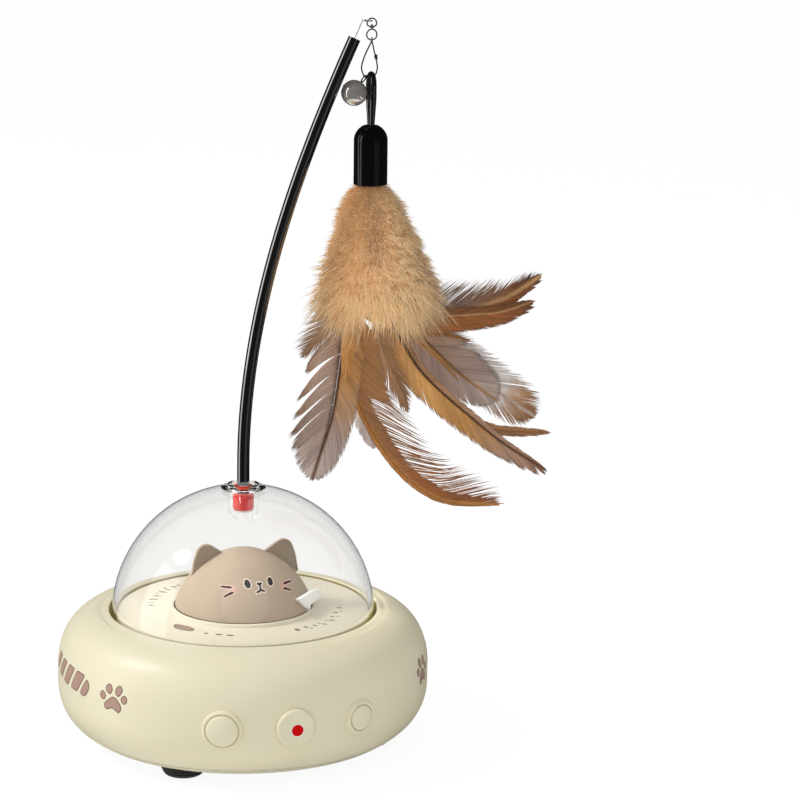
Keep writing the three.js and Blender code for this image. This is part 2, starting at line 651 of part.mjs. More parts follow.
function makeFeet() {
  const profile = [[0, -FOOT_HEIGHT], [FOOT_BOTTOM_RADIUS - FOOT_ROUND, -FOOT_HEIGHT],
    [FOOT_BOTTOM_RADIUS, FOOT_ROUND - FOOT_HEIGHT], [FOOT_TOP_RADIUS, -SEAT_GAP],
    [FOOT_STUD_RADIUS, -SEAT_GAP], [FOOT_STUD_RADIUS, FOOT_STUD_HEIGHT], [0, FOOT_STUD_HEIGHT]];
  for (const { name, x, y } of footPlaces()) {
    addMesh(name, lathe(profile, SMALL_ROUND), RUBBER_BLACK).position.set(x, y, 0);
  }
}

// Gears with straight-sided teeth
function gearCentres() {
  return GEAR_MODULE * (GEAR_TEETH + PINION_TEETH) / 2;
}

function gearShape(teeth, bore) {
  const pitch = GEAR_MODULE * teeth / 2;
  const tip = pitch + GEAR_MODULE * TOOTH_TIP_SHARE;
  const root = pitch - GEAR_MODULE * TOOTH_DEPTH_SHARE;
  const step = 2 * Math.PI / teeth;
  const corners = [[root, -TOOTH_ROOT_SHARE / 2], [tip, -TOOTH_TOP_SHARE / 2],
    [tip, TOOTH_TOP_SHARE / 2], [root, TOOTH_ROOT_SHARE / 2]];
  const shape = new THREE.Shape();
  for (let tooth = 0; tooth < teeth; tooth += 1) {
    corners.forEach(([radius, share], k) => {
      const angle = (tooth + share) * step;
      const place = [radius * Math.cos(angle), radius * Math.sin(angle)];
      if (tooth === 0 && k === 0) shape.moveTo(...place);
      else shape.lineTo(...place);
    });
  }
  shape.closePath();
  shape.holes.push(circleShape(bore));
  return shape;
}

function makeDrive() {
  const gearBottom = DISC_UNDER - SEAT_GAP - GEAR_THICKNESS;
  const gearBore = SPINDLE_RADIUS + SEAT_GAP;
  const gear = addMesh('drive_gear', prism(gearShape(GEAR_TEETH, gearBore), gearBottom, GEAR_THICKNESS),
    NYLON);
  gear.rotation.z = Math.PI / 2;
  const pinionTop = gearBottom + GEAR_THICKNESS;
  const pinion = addMesh('drive_pinion', prism(gearShape(PINION_TEETH, SHAFT_RADIUS + SEAT_GAP),
    gearBottom, GEAR_THICKNESS), NYLON);
  pinion.position.y = gearCentres();
  pinion.rotation.z = Math.PI / PINION_TEETH - Math.PI / 2;
  const gearboxTop = DECK_UNDER - SEAT_GAP;
  const shaft = disc(SHAFT_RADIUS, gearboxTop + SEAT_GAP, pinionTop, SMALL_ROUND);
  addMesh('output_shaft', shaft, STEEL).position.y = gearCentres();
  const gearbox = block(GEARBOX_SIDE, GEARBOX_SIDE, GEARBOX_HEIGHT, 0, gearCentres(),
    gearboxTop - GEARBOX_HEIGHT);
  addMesh('gearbox', gearbox, NYLON);
  const motorTop = gearboxTop - GEARBOX_HEIGHT - SEAT_GAP;
  const motor = disc(MOTOR_RADIUS, COVER_THICKNESS + MOTOR_ABOVE_COVER, motorTop, MEDIUM_ROUND);
  addMesh('motor_can', motor, STEEL).position.y = gearCentres();
  addMesh('glide_ring', washer(GLIDE_INNER, GLIDE_OUTER, DECK_TOP + SEAT_GAP, DISC_UNDER - SEAT_GAP,
    LARGE_ROUND), NYLON);
}

function makeTurntable() {
  addMesh('turntable_disc', washer(SPINDLE_RADIUS + SEAT_GAP, DOME_RADIUS, DISC_UNDER, DISC_TOP,
    LARGE_ROUND), DARK_CREAM);
  const washerBottom = SPINDLE_TOP + SEAT_GAP;
  const washerTop = washerBottom + WASHER_THICKNESS;
  addMesh('retaining_washer', washer(SPINDLE_BORE + SEAT_GAP, WASHER_RADIUS, washerBottom, washerTop,
    MEDIUM_ROUND), STEEL);
  const headBottom = washerTop + SEAT_GAP;
  const screwBottom = headBottom - SPINDLE_SCREW_LENGTH;
  addMesh('spindle_screw', lathe([[0, screwBottom], [SPINDLE_SCREW_RADIUS, screwBottom],
    [SPINDLE_SCREW_RADIUS, headBottom], [SPINDLE_HEAD_RADIUS, headBottom],
    [SPINDLE_HEAD_RADIUS, headBottom + SPINDLE_HEAD_HEIGHT], [0, headBottom + SPINDLE_HEAD_HEIGHT]],
    SMALL_ROUND), STEEL);
  makeCoverPlate();
  const clearance = headClearance();
  makeHead(clearance);
  makeTab(clearance);
  makeDome();
}

function makeCoverPlate() {
  const opening = HEAD_RADIUS + HEAD_CLEARANCE;
  const under = PLATE_TOP - PLATE_THICKNESS;
  const profile = [[opening, PLATE_BOTTOM], [opening, PLATE_TOP], [PLATE_RADIUS, PLATE_TOP],
    [PLATE_RADIUS, PLATE_BOTTOM], [PLATE_RADIUS - PLATE_SKIRT, PLATE_BOTTOM],
    [PLATE_RADIUS - PLATE_SKIRT, under], [opening + PLATE_SKIRT, under],
    [opening + PLATE_SKIRT, PLATE_BOTTOM]];
  const notch = tabBlock(TAB_LENGTH - TAB_LEG - SEAT_GAP, TAB_LENGTH + SEAT_GAP,
    TAB_THICKNESS + 2 * SEAT_GAP, PLATE_BOTTOM - CUT_OVERRUN, PLATE_TOP + CUT_OVERRUN);
  addMesh('cover_plate', cutBy(ringLathe(profile, LARGE_ROUND), notch), CREAM);
}

// The head's outline: a rounded hill between a half circle and a cone
function hillPoints(radius, height, steps) {
  const points = [];
  for (let i = 0; i <= steps; i += 1) {
    const turn = (Math.PI / 2) * (i / steps);
    const across = radius * Math.cos(turn) ** (2 / HEAD_POWER);
    points.push([i === steps ? 0 : across, PLATE_TOP + height * Math.sin(turn) ** (2 / HEAD_POWER)]);
  }
  return points;
}

function headProfile() {
  const outer = hillPoints(HEAD_RADIUS, HEAD_HEIGHT, CURVE_STEPS + 1);
  const inner = hillPoints(HEAD_RADIUS - HEAD_WALL, HEAD_HEIGHT - HEAD_WALL, CURVE_STEPS - 1).reverse();
  return [[HEAD_RADIUS, PLATE_BOTTOM], ...outer, ...inner, [HEAD_RADIUS - HEAD_WALL, PLATE_BOTTOM]];
}

// The head's outline with its seat gap, for what is fitted against it
function headClearance() {
  return lathe([[0, PLATE_BOTTOM], [HEAD_RADIUS + SEAT_GAP, PLATE_BOTTOM],
    ...hillPoints(HEAD_RADIUS + SEAT_GAP, HEAD_HEIGHT + SEAT_GAP, CURVE_STEPS + 1)], LARGE_ROUND);
}

function makeHead(clearance) {
  addMesh('cat_head', ringLathe(headProfile(), LARGE_ROUND), TAUPE);
  for (const [side, sign] of [['left', -1], ['right', 1]]) {
    addMesh(`ear_${side}`, cutBy(earBlank(sign), clearance), DARK_TAUPE);
  }
}

// An ear before it is fitted to the head: a rounded triangle whose foot reaches into the head
function earBlank(sign) {
  const [tip, outer, inner] = [EAR_TIP_SHARES, EAR_OUTER_SHARES, EAR_INNER_SHARES].map(([across, up]) => (
    new THREE.Vector2(across * HEAD_RADIUS, up * HEAD_HEIGHT)));
  const outerStart = tip.clone().add(outer.clone().sub(tip).setLength(EAR_TIP_ROUND));
  const innerStart = tip.clone().add(inner.clone().sub(tip).setLength(EAR_TIP_ROUND));
  const shape = new THREE.Shape();
  shape.moveTo(outer.x, outer.y);
  shape.lineTo(outerStart.x, outerStart.y);
  shape.quadraticCurveTo(tip.x, tip.y, innerStart.x, innerStart.y);
  shape.lineTo(inner.x, inner.y);
  shape.lineTo(inner.x, inner.y - EAR_SINK);
  shape.lineTo(outer.x - EAR_SINK, outer.y - EAR_SINK);
  shape.closePath();
  const ear = prism(shape, -EAR_THICKNESS / 2, EAR_THICKNESS, EAR_TIP_STEPS).rotateX(Math.PI / 2)
    .translate(0, 0, PLATE_TOP);
  if (sign < 0) ear.rotateZ(Math.PI);
  return ear.translate(0, EAR_SETBACK, 0);
}

// A block along the tab's own line, between two distances from its start
function tabBlock(from, to, thickness, bottom, top) {
  return block(to - from, thickness, top - bottom, (from + to) / 2, 0, bottom)
    .rotateZ(radians(TAB_TURN))
    .translate(TAB_START_SHARES[0] * HEAD_RADIUS, TAB_START_SHARES[1] * HEAD_RADIUS, 0);
}

function makeTab(clearance) {
  const strip = tabBlock(0, TAB_LENGTH, TAB_THICKNESS, TAB_BOTTOM, TAB_BOTTOM + TAB_HEIGHT);
  const leg = tabBlock(TAB_LENGTH - TAB_LEG, TAB_LENGTH, TAB_THICKNESS, PLATE_BOTTOM,
    TAB_BOTTOM + TAB_HEIGHT);
  addMesh('locating_tab', cutBy(joined(strip, leg), clearance), WHITE);
}

function domeArc(radius, stopRadius) {
  const stop = Math.acos(stopRadius / radius);
  const points = [];
  for (let i = 0; i <= DOME_STEPS; i += 1) {
    const turn = stop * (i / DOME_STEPS);
    points.push([radius * Math.cos(turn), DOME_CENTRE + radius * Math.sin(turn)]);
  }
  return points;
}

function makeDome() {
  const hole = SOCKET_RADIUS + SEAT_GAP;
  const inside = DOME_RADIUS - DOME_WALL;
  addMesh('dome', ringLathe([[DOME_RADIUS, PLATE_BOTTOM], ...domeArc(DOME_RADIUS, hole),
    ...domeArc(inside, hole).reverse(), [inside, PLATE_BOTTOM]], LARGE_ROUND), CLEAR);
  const domeHeight = (radius) => DOME_CENTRE + Math.sqrt(DOME_RADIUS ** 2 - radius ** 2);
  const underEdge = domeHeight(SOCKET_FOOT_RADIUS) + SEAT_GAP;
  const underNeck = domeHeight(SOCKET_RADIUS) + SEAT_GAP;
  const cup = SOCKET_RADIUS - SOCKET_CUP_TAPER;
  addMesh('wand_socket', lathe([[0, SOCKET_BOTTOM], [cup / 2, SOCKET_BOTTOM], [cup, SOCKET_FLOOR],
    [SOCKET_RADIUS, underNeck - DOME_WALL],
    [SOCKET_RADIUS, underNeck], [SOCKET_FOOT_RADIUS, underEdge],
    [SOCKET_FOOT_RADIUS, underEdge + SOCKET_FOOT_THICKNESS / 2],
    [SOCKET_RADIUS, underNeck + SOCKET_FOOT_THICKNESS], [SOCKET_RADIUS, SOCKET_TOP],
    [SOCKET_BORE, SOCKET_TOP], [SOCKET_BORE, SOCKET_FLOOR], [0, SOCKET_FLOOR]], MEDIUM_ROUND), CLEAR);
}

// Wand
function wandPath(bottom) {
  const path = new THREE.CurvePath();
  const straightTop = new THREE.Vector3(0, 0, WAND_STRAIGHT_TOP);
  path.add(new THREE.LineCurve3(new THREE.Vector3(0, 0, bottom), straightTop));
  path.add(new THREE.CubicBezierCurve3(straightTop,
    new THREE.Vector3(0, 0, WAND_STRAIGHT_TOP + WAND_LIFT),
    new THREE.Vector3(WAND_TIP.x - WAND_TIP_PULL.x, 0, WAND_TIP.z - WAND_TIP_PULL.z),
    new THREE.Vector3(WAND_TIP.x, 0, WAND_TIP.z)));
  return path;
}

// The core wire leaves the tip, rises and closes into a level eye under the swivel's arch
function hookPath() {
  const centre = LURE_X - HOOK_RADIUS;
  const run = new THREE.Vector2(WAND_TIP_PULL.x, WAND_TIP_PULL.z).setLength(2 * HOOK_RADIUS);
  const points = [-1, 1].map((way) => [WAND_TIP.x + way * run.x, 0, WAND_TIP.z + way * run.y]);
  for (let i = 0; i <= CURVE_STEPS; i += 1) {
    const turn = radians(HOOK_START + HOOK_SWEEP * (i / CURVE_STEPS));
    points.push([centre + HOOK_RADIUS * Math.cos(turn), HOOK_RADIUS * Math.sin(turn), HOOK_HEIGHT]);
  }
  return smoothCurve(points);
}

function makeWand() {
  const plugBottom = SOCKET_FLOOR + SEAT_GAP;
  const bore = SLEEVE_RADIUS + SEAT_GAP;
  const sleeveBottom = plugBottom + PLUG_FLOOR + SEAT_GAP;
  addMesh('wand_plug', lathe([[0, plugBottom], [PLUG_RADIUS - PLUG_CHAMFER, plugBottom],
    [PLUG_RADIUS, plugBottom + PLUG_CHAMFER], [PLUG_RADIUS, PLUG_TOP], [bore, PLUG_TOP],
    [bore, plugBottom + PLUG_FLOOR], [0, plugBottom + PLUG_FLOOR]], MEDIUM_ROUND), RED);
  addMesh('wand_sleeve', rod(wandPath(sleeveBottom), SLEEVE_RADIUS, WAND_STEPS, TUBE_SIDES, SLEEVE_BORE),
    GLOSS_BLACK);
  addMesh('core_wire', joined(rod(wandPath(sleeveBottom), CORE_RADIUS, WAND_STEPS, WIRE_SIDES),
    rod(hookPath(), CORE_RADIUS, HOOK_STEPS, WIRE_SIDES)), STEEL);
}

// Swivel and snap clip, built about the lure's axis
function makeSwivel(group) {
  const top = HOOK_HEIGHT + CORE_RADIUS + SEAT_GAP + FINE_WIRE;
  const foot = COLLAR_BOTTOM + COLLAR_HEIGHT / 2;
  const collarMiddle = (COLLAR_RADIUS + COLLAR_BORE) / 2;
  const arch = rod(smoothCurve([[-collarMiddle, 0, foot], [-EYE_HALF_WIDTH, 0, foot + EYE_HALF_WIDTH / 2],
    [-EYE_HALF_WIDTH, 0, top - EYE_HALF_WIDTH], [0, 0, top], [EYE_HALF_WIDTH, 0, top - EYE_HALF_WIDTH],
    [EYE_HALF_WIDTH, 0, foot + EYE_HALF_WIDTH / 2], [collarMiddle, 0, foot]]),
    FINE_WIRE, ARCH_STEPS, WIRE_SIDES);
  const collar = washer(COLLAR_BORE, COLLAR_RADIUS, COLLAR_BOTTOM, COLLAR_BOTTOM + COLLAR_HEIGHT,
    SMALL_ROUND);
  const bore = disc(COLLAR_BORE, COLLAR_BOTTOM - CUT_OVERRUN, COLLAR_BOTTOM + 2 * COLLAR_HEIGHT,
    SMALL_ROUND);
  addMesh('swivel_eye', cutBy(joined(arch, collar), bore), STEEL, group);
}

function makeSnap(group) {
  const ring = new THREE.TorusGeometry(RING_RADIUS, FINE_WIRE, RING_SIDES, RING_ROUND).rotateX(Math.PI / 2)
    .translate(0, 0, RING_CENTRE);
  const headBottom = COLLAR_BOTTOM + COLLAR_HEIGHT + SEAT_GAP;
  const stud = lathe([[0, RING_CENTRE + RING_RADIUS], [STUD_RADIUS, RING_CENTRE + RING_RADIUS],
    [STUD_RADIUS, headBottom], [STUD_HEAD_RADIUS, headBottom],
    [STUD_HEAD_RADIUS, headBottom + STUD_HEAD_HEIGHT], [0, headBottom + STUD_HEAD_HEIGHT]], SMALL_ROUND);
  addMesh('swivel_ring', joined(ring, stud), STEEL, group);
  const wire = smoothCurve(SNAP_SHARES.map(([across, aside, up]) => [across * SNAP_REACH,
    aside * SNAP_ASIDE, SNAP_BOTTOM + up * SNAP_HEIGHT]));
  addMesh('snap_clip', rod(wire, FINE_WIRE, SNAP_STEPS, WIRE_SIDES), STEEL, group);
}

function makeBell(group) {
  const ballSteps = CURVE_STEPS + 1;
  const skin = new THREE.SphereGeometry(BELL_RADIUS, MEDIUM_ROUND, ballSteps);
  const hollow = new THREE.SphereGeometry(BELL_RADIUS - BELL_WALL, MEDIUM_ROUND, ballSteps);
  const slot = block(3 * BELL_RADIUS, BELL_SLOT, BELL_RADIUS, 0, 0, -BELL_RADIUS - CUT_OVERRUN);
  const shank = new THREE.TorusGeometry(BELL_EYE_RADIUS, FINE_WIRE, RING_SIDES, SMALL_ROUND)
    .rotateX(Math.PI / 2).rotateZ(Math.PI / 2)
    .translate(0, 0, BELL_RADIUS + BELL_EYE_RADIUS - FINE_WIRE / 2);
  const bell = new THREE.Group();
  bell.position.set(-BELL_ASIDE, 0, SNAP_BOTTOM - BELL_DROP);
  bell.rotation.y = radians(BELL_TILT);
  group.add(bell);
  const shell = cutBy(skin, hollow, slot);
  addMesh('bell_shell', joined(shell, shank), BELL_METAL, bell);
  const pelletDrop = -BELL_RADIUS + BELL_WALL + SEAT_GAP + PELLET_RADIUS;
  addMesh('bell_pellet', new THREE.SphereGeometry(PELLET_RADIUS, SMALL_ROUND, CURVE_STEPS), STEEL, bell)
    .position.z = pelletDrop;
}

// Lure
function makeLureHead(group) {
  const loopTop = SNAP_BOTTOM + FINE_WIRE + SEAT_GAP + LOOP_RADIUS;
  const inCap = CAP_TOP - CAP_CROWN - LOOP_RADIUS;
  const neck = CAP_TOP + LOOP_RADIUS;
  const bulge = (neck + loopTop) / 2;
  const loop = smoothCurve([[0, -LOOP_NECK, inCap], [0, -LOOP_NECK, neck],
    [0, -LOOP_HALF_WIDTH, bulge], [0, -LOOP_HALF_WIDTH, loopTop - LOOP_HALF_WIDTH], [0, 0, loopTop],
    [0, LOOP_HALF_WIDTH, loopTop - LOOP_HALF_WIDTH], [0, LOOP_HALF_WIDTH, bulge],
    [0, LOOP_NECK, neck], [0, LOOP_NECK, inCap]]);
  addMesh('lure_loop', rod(loop, LOOP_RADIUS, LOOP_STEPS, TUBE_SIDES), GLOSS_BLACK, group);
  const shoulderHeight = CAP_TOP - CAP_CROWN;
  const crown = [];
  const crownTurn = CAP_CROWN_SHARE * Math.PI / 2;
  for (let i = 0; i <= CROWN_STEPS; i += 1) {
    const turn = crownTurn * (i / CROWN_STEPS);
    const rise = Math.sin(turn) / Math.sin(crownTurn);
    crown.push([CAP_RADIUS * Math.cos(turn), shoulderHeight + CAP_CROWN * rise]);
  }
  addMesh('lure_cap', ringLathe([[CAP_RADIUS, CAP_BOTTOM], ...crown, [CAP_HOLE, CAP_TOP],
    [CAP_HOLE, shoulderHeight], [CAP_RADIUS - CAP_WALL, shoulderHeight - CAP_WALL],
    [CAP_RADIUS - CAP_WALL, CAP_BOTTOM]], MEDIUM_ROUND), GLOSS_BLACK, group);
}

// The fluff is a plume that leans towards the fan's right as it widens
function fluffSolid(extra) {
  const neckTop = CAP_TOP - CAP_CROWN - LOOP_RADIUS - 2 * SEAT_GAP - CAP_WALL;
  const profile = [[0, neckTop + extra], [FLUFF_NECK + extra, neckTop + extra],
    [FLUFF_NECK + extra, CAP_BOTTOM],
    ...FLUFF_SHARES.map(([down, out]) => [out * FLUFF_RADIUS + extra,
      CAP_BOTTOM - down * FLUFF_LENGTH - extra]),
    [0, CAP_BOTTOM - FLUFF_LENGTH - extra]];
  const geometry = lathe(profile, MEDIUM_ROUND);
  const place = geometry.getAttribute('position');
  for (let i = 0; i < place.count; i += 1) {
    const drop = Math.max(0, CAP_BOTTOM - place.getZ(i)) / FLUFF_LENGTH;
    place.setXY(i, place.getX(i) + FLUFF_LEAN * drop, place.getY(i) * FLUFF_DEPTH_SHARE);
  }
  return geometry;
}

// Width of a vane along its quill, from root (0) to tip (1)
function vaneShare(along, tipPower) {
  const opening = Math.sqrt(Math.min(1, along / FEATHER_ROOT_SHARE));
  return Math.max(QUILL_SHARE, opening * Math.sqrt(Math.max(0, 1 - along ** tipPower)));
}

// A feather is a thin lens swept along its quill: four corners at every station
function featherSolid({ quillShares, vaneShares, tipPower, layerShare, bowShare }) {
  const curve = smoothCurve(quillShares.map(([right, down]) => [right * FAN_REACH, 0,
    CAP_BOTTOM - down * FAN_DROP]));
  const [upper, lower] = vaneShares.map((vane) => vane * VANE_WIDTH);
  const corners = [];
  for (let i = 0; i <= FEATHER_STATIONS; i += 1) {
    const along = i / FEATHER_STATIONS;
    const point = curve.getPointAt(along);
    const tangent = curve.getTangentAt(along);
    const depth = FAN_DEPTH * (layerShare + bowShare * along * along);
    const share = vaneShare(along, tipPower);
    const half = FEATHER_THICKNESS / 2;
    corners.push([point.x - tangent.z * upper * share, depth, point.z + tangent.x * upper * share]);
    corners.push([point.x, depth - half, point.z]);
    corners.push([point.x + tangent.z * lower * share, depth, point.z - tangent.x * lower * share]);
    corners.push([point.x, depth + half, point.z]);
  }
  const index = [0, 1, 2, 0, 2, 3];
  const last = 4 * FEATHER_STATIONS;
  index.push(last, last + 2, last + 1, last, last + 3, last + 2);
  for (let i = 0; i < FEATHER_STATIONS; i += 1) {
    for (let k = 0; k < 4; k += 1) {
      const [a, b] = [4 * i + k, 4 * i + (k + 1) % 4];
      index.push(a, a + 4, b + 4, a, b + 4, b);
    }
  }
  const geometry = new THREE.BufferGeometry();
  geometry.setAttribute('position', new THREE.BufferAttribute(new Float32Array(corners.flat()), 3));
  geometry.setIndex(index);
  return geometry;
}

function makeLure(group) {
  makeLureHead(group);
  const fan = new THREE.Group();
  fan.rotation.z = radians(FAN_TURN);
  group.add(fan);
  addMesh('plume_fluff', fluffSolid(0), TAN_FLUFF, fan);
  const clearance = fluffSolid(SEAT_GAP);
  FEATHERS.forEach((feather, i) => {
    const finish = i % 2 === 0 ? BROWN_FEATHER : GREY_FEATHER;
    addMesh(feather.name, cutBy(featherSolid(feather), clearance), finish, fan);
  });
}

// Electrics on the bottom cover
function makeElectrics() {
  const onCover = COVER_THICKNESS + SEAT_GAP;
  const cell = disc(CELL_RADIUS, -CELL_LENGTH / 2, CELL_LENGTH / 2, MEDIUM_ROUND).rotateY(Math.PI / 2);
  addMesh('battery_cell', cell, CELL_WRAP).position.set(0, CELL_Y, onCover + CELL_RADIUS);
  addMesh('main_board', block(BOARD_WIDTH, BOARD_REAR - BOARD_FRONT, BOARD_THICKNESS, 0,
    (BOARD_REAR + BOARD_FRONT) / 2, BOARD_HEIGHT), GREEN_BOARD);
  const usb = cutBy(usbPrism(0, USB_REAR - USB_LENGTH, USB_REAR),
    usbPrism(-USB_WALL, USB_REAR - USB_DEPTH, USB_REAR + CUT_OVERRUN));
  addMesh('usb_socket', usb, STEEL);
}

// A button with its bezel, switch and board, built along +Z as the outward direction
function makeButton(button) {
  const station = new THREE.Group();
  station.rotation.z = radians(button.turn);
  toy.add(station);
  const outward = new THREE.Group();
  outward.rotation.x = Math.PI / 2;
  outward.position.z = BUTTON_HEIGHT;
  station.add(outward);
  const front = BASE_RADIUS + (button.bezel > 0 ? BUTTON_PROUD : BUTTON_EDGE / 2);
  const flangeRadius = buttonHole(button) + BUTTON_FLANGE_WIDTH;
  const flangeBottom = BUTTON_INSIDE - BUTTON_FLANGE;
  const switchFoot = SWITCH_BOARD_RADIUS + SWITCH_BOARD_THICKNESS + SEAT_GAP;
  const plungerTip = switchFoot + SWITCH_DEPTH + PLUNGER_LENGTH;
  const stemEnd = plungerTip + STEM_CLEARANCE;
  addMesh(`button_${button.side}`, lathe([[0, stemEnd], [BUTTON_STEM, stemEnd],
    [BUTTON_STEM, flangeBottom], [flangeRadius, flangeBottom], [flangeRadius, BUTTON_INSIDE],
    [button.cap, BUTTON_INSIDE], [button.cap, front - BUTTON_EDGE],
    [button.cap - BUTTON_EDGE, front], [button.cap / 2, front - button.dish / 2],
    [0, front - button.dish]], MEDIUM_ROUND), CREAM, outward);
  if (button.bezel > 0) {
    const inner = button.cap + SEAT_GAP;
    const neck = inner + BEZEL_NECK;
    const seat = BASE_RADIUS + SEAT_GAP;
    addMesh(`bezel_${button.side}`, ringLathe([[inner, BUTTON_INSIDE + SEAT_GAP],
      [neck, BUTTON_INSIDE + SEAT_GAP], [neck, seat], [button.bezel, seat],
      [button.bezel, seat + BEZEL_PROUD / 2], [button.bezel - BEZEL_NECK, BASE_RADIUS + BEZEL_PROUD],
      [inner, BASE_RADIUS + BEZEL_PROUD]], MEDIUM_ROUND), CREAM, outward);
  }
  const body = block(SWITCH_SIDE, SWITCH_SIDE, SWITCH_DEPTH, 0, 0, switchFoot);
  const plunger = disc(PLUNGER_RADIUS, switchFoot, plungerTip, SMALL_ROUND);
  addMesh(`tact_switch_${button.side}`, joined(body, plunger), RUBBER_BLACK, outward);
  const onCover = COVER_THICKNESS + SEAT_GAP;
  addMesh(`switch_board_${button.side}`, block(SWITCH_BOARD_WIDTH, SWITCH_BOARD_THICKNESS,
    SWITCH_BOARD_TOP - onCover, 0, -SWITCH_BOARD_RADIUS - SWITCH_BOARD_THICKNESS / 2, onCover),
    GREEN_BOARD, station);
}

makeBase();
makeElectrics();
BUTTONS.forEach(makeButton);
makeDrive();
makeTurntable();
makeWand();
const hanging = new THREE.Group();
hanging.position.x = LURE_X;
toy.add(hanging);
makeSwivel(hanging);
makeSnap(hanging);
makeBell(hanging);
makeLure(hanging);

export default toy;
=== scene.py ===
"""Interactive cat toy: a cream base with a clear turning dome over a cat head, and a bent wand with a
snap clip, a bell and a feather lure. Shapes are worked in millimetres and put into metres at the end."""

import math
import random

import bmesh
import bpy
import numpy as np
from mathutils import Matrix, Vector
from mathutils.geometry import intersect_line_line


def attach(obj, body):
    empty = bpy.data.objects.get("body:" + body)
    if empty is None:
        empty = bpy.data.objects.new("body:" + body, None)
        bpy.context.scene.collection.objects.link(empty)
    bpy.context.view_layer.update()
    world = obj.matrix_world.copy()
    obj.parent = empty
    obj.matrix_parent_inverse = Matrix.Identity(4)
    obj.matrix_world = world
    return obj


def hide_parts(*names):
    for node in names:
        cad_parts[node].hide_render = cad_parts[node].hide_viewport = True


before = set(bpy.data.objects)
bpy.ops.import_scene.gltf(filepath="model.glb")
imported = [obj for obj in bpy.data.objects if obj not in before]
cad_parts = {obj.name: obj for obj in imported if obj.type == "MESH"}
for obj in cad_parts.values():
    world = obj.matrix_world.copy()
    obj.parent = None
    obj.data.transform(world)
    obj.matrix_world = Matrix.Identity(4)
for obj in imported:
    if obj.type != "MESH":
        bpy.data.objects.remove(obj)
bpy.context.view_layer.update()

MM = 0.001
TAU = 2 * math.pi
PHOTO_WIDTH = 800
SEAT_GAP = 0.3
CUT_OVERRUN = 2

# Camera: the photograph's view
VIEW_AZIMUTH = math.radians(-15.5)
VIEW_ELEVATION = math.radians(13.14)
VIEW_DISTANCE = 1.1988
VIEW_LENS = 135
VIEW_SENSOR = 36
VIEW_TARGET = Vector((0, 0, 0.1344))
AXIS_COLUMN = 243.3

# Base outline
BASE_RADIUS = 75
BAND_TOP = 23.05
BAND_BOTTOM = 19.3
LIP_RADIUS = 54.2
LIP_HEIGHT = 48.8
FOOT_EDGE_RADIUS = 63.4
SHOULDER = [(LIP_RADIUS, LIP_HEIGHT), (75.4, 47.3), (BASE_RADIUS, 29.65), (BASE_RADIUS, BAND_TOP)]
LOWER = [(BASE_RADIUS, BAND_BOTTOM), (BASE_RADIUS, 5.8), (65.34, 1.41), (FOOT_EDGE_RADIUS, 0)]
SHELL_WALL = 2.4
PARTING_HEIGHT = 2.6
COVER_TOP = PARTING_HEIGHT - SEAT_GAP
DECK_TOP = 36
DECK_UNDER = 34
SPINDLE_TOP = 44
SPINDLE_BOTTOM = 28
SPINDLE_RADIUS = 5
SPINDLE_BORE = 1.6

# Turntable, head and dome
PLATE_TOP = 47.8
PLATE_FACE = 48.3
RING_TOP = 49.8
PLATE_BOTTOM = 43.6
PLATE_RADIUS = 51
PLATE_OPENING = 28
DISC_BOTTOM = 41.3
DISC_TOP = 43.3
DOME_RADIUS = 53.2
DOME_CENTRE = 45.3
DOME_WALL = 1.8
HEAD_RADIUS = 27.8
HEAD_HEIGHT = 25.3
HEAD_POWER = 1.75
HEAD_WALL = 2
HEAD_FOOT = 27.3
SOCKET_RADIUS = 6.5
SOCKET_TOP = 100.2

# Wand and lure
WAND_BOTTOM = 91
WAND_STRAIGHT_TOP = 107
WAND_TIP = (45.3, 277.5)
WAND_PULL = (25.2, 54.4)
SLEEVE_RADIUS = 2.5
LURE_X = 52.4
SNAP_BOTTOM = 261.6
CAP_RADIUS = 6.75
CAP_TOP = 242.9
CAP_BOTTOM = 219.3
FLUFF_LENGTH = 60
FLUFF_RADIUS = 22.6
FLUFF_LEAN = 4.5
FLUFF_DEPTH = 0.86
FAN_TURN = math.radians(-15.5)


def make_camera():
    """Looks at the turntable's axis from the photograph's side, then turns aside to frame the lure."""
    level = math.cos(VIEW_ELEVATION)
    back = Vector((math.sin(VIEW_AZIMUTH) * level, -math.cos(VIEW_AZIMUTH) * level,
                   math.sin(VIEW_ELEVATION)))
    pixels_per_unit = PHOTO_WIDTH * VIEW_LENS / VIEW_SENSOR
    aside = math.atan((PHOTO_WIDTH / 2 - AXIS_COLUMN) / pixels_per_unit)
    data = bpy.data.cameras.new("camera")
    data.lens = VIEW_LENS
    data.sensor_width = VIEW_SENSOR
    camera = bpy.data.objects.new("camera", data)
    bpy.context.collection.objects.link(camera)
    look = (-back).to_track_quat("-Z", "Y").to_matrix().to_4x4()
    camera.matrix_world = (Matrix.Translation(VIEW_TARGET + back * VIEW_DISTANCE) @ look
                           @ Matrix.Rotation(-aside, 4, "Y"))
    bpy.context.scene.camera = camera


make_camera()


# Shader tools
def linear(colour):
    """An sRGB colour of 0 to 255 as the linear colour that a shader takes."""
    channels = [channel / 255 for channel in colour]
    return tuple(c / 12.92 if c <= 0.04045 else ((c + 0.055) / 1.055) ** 2.4 for c in channels) + (1,)


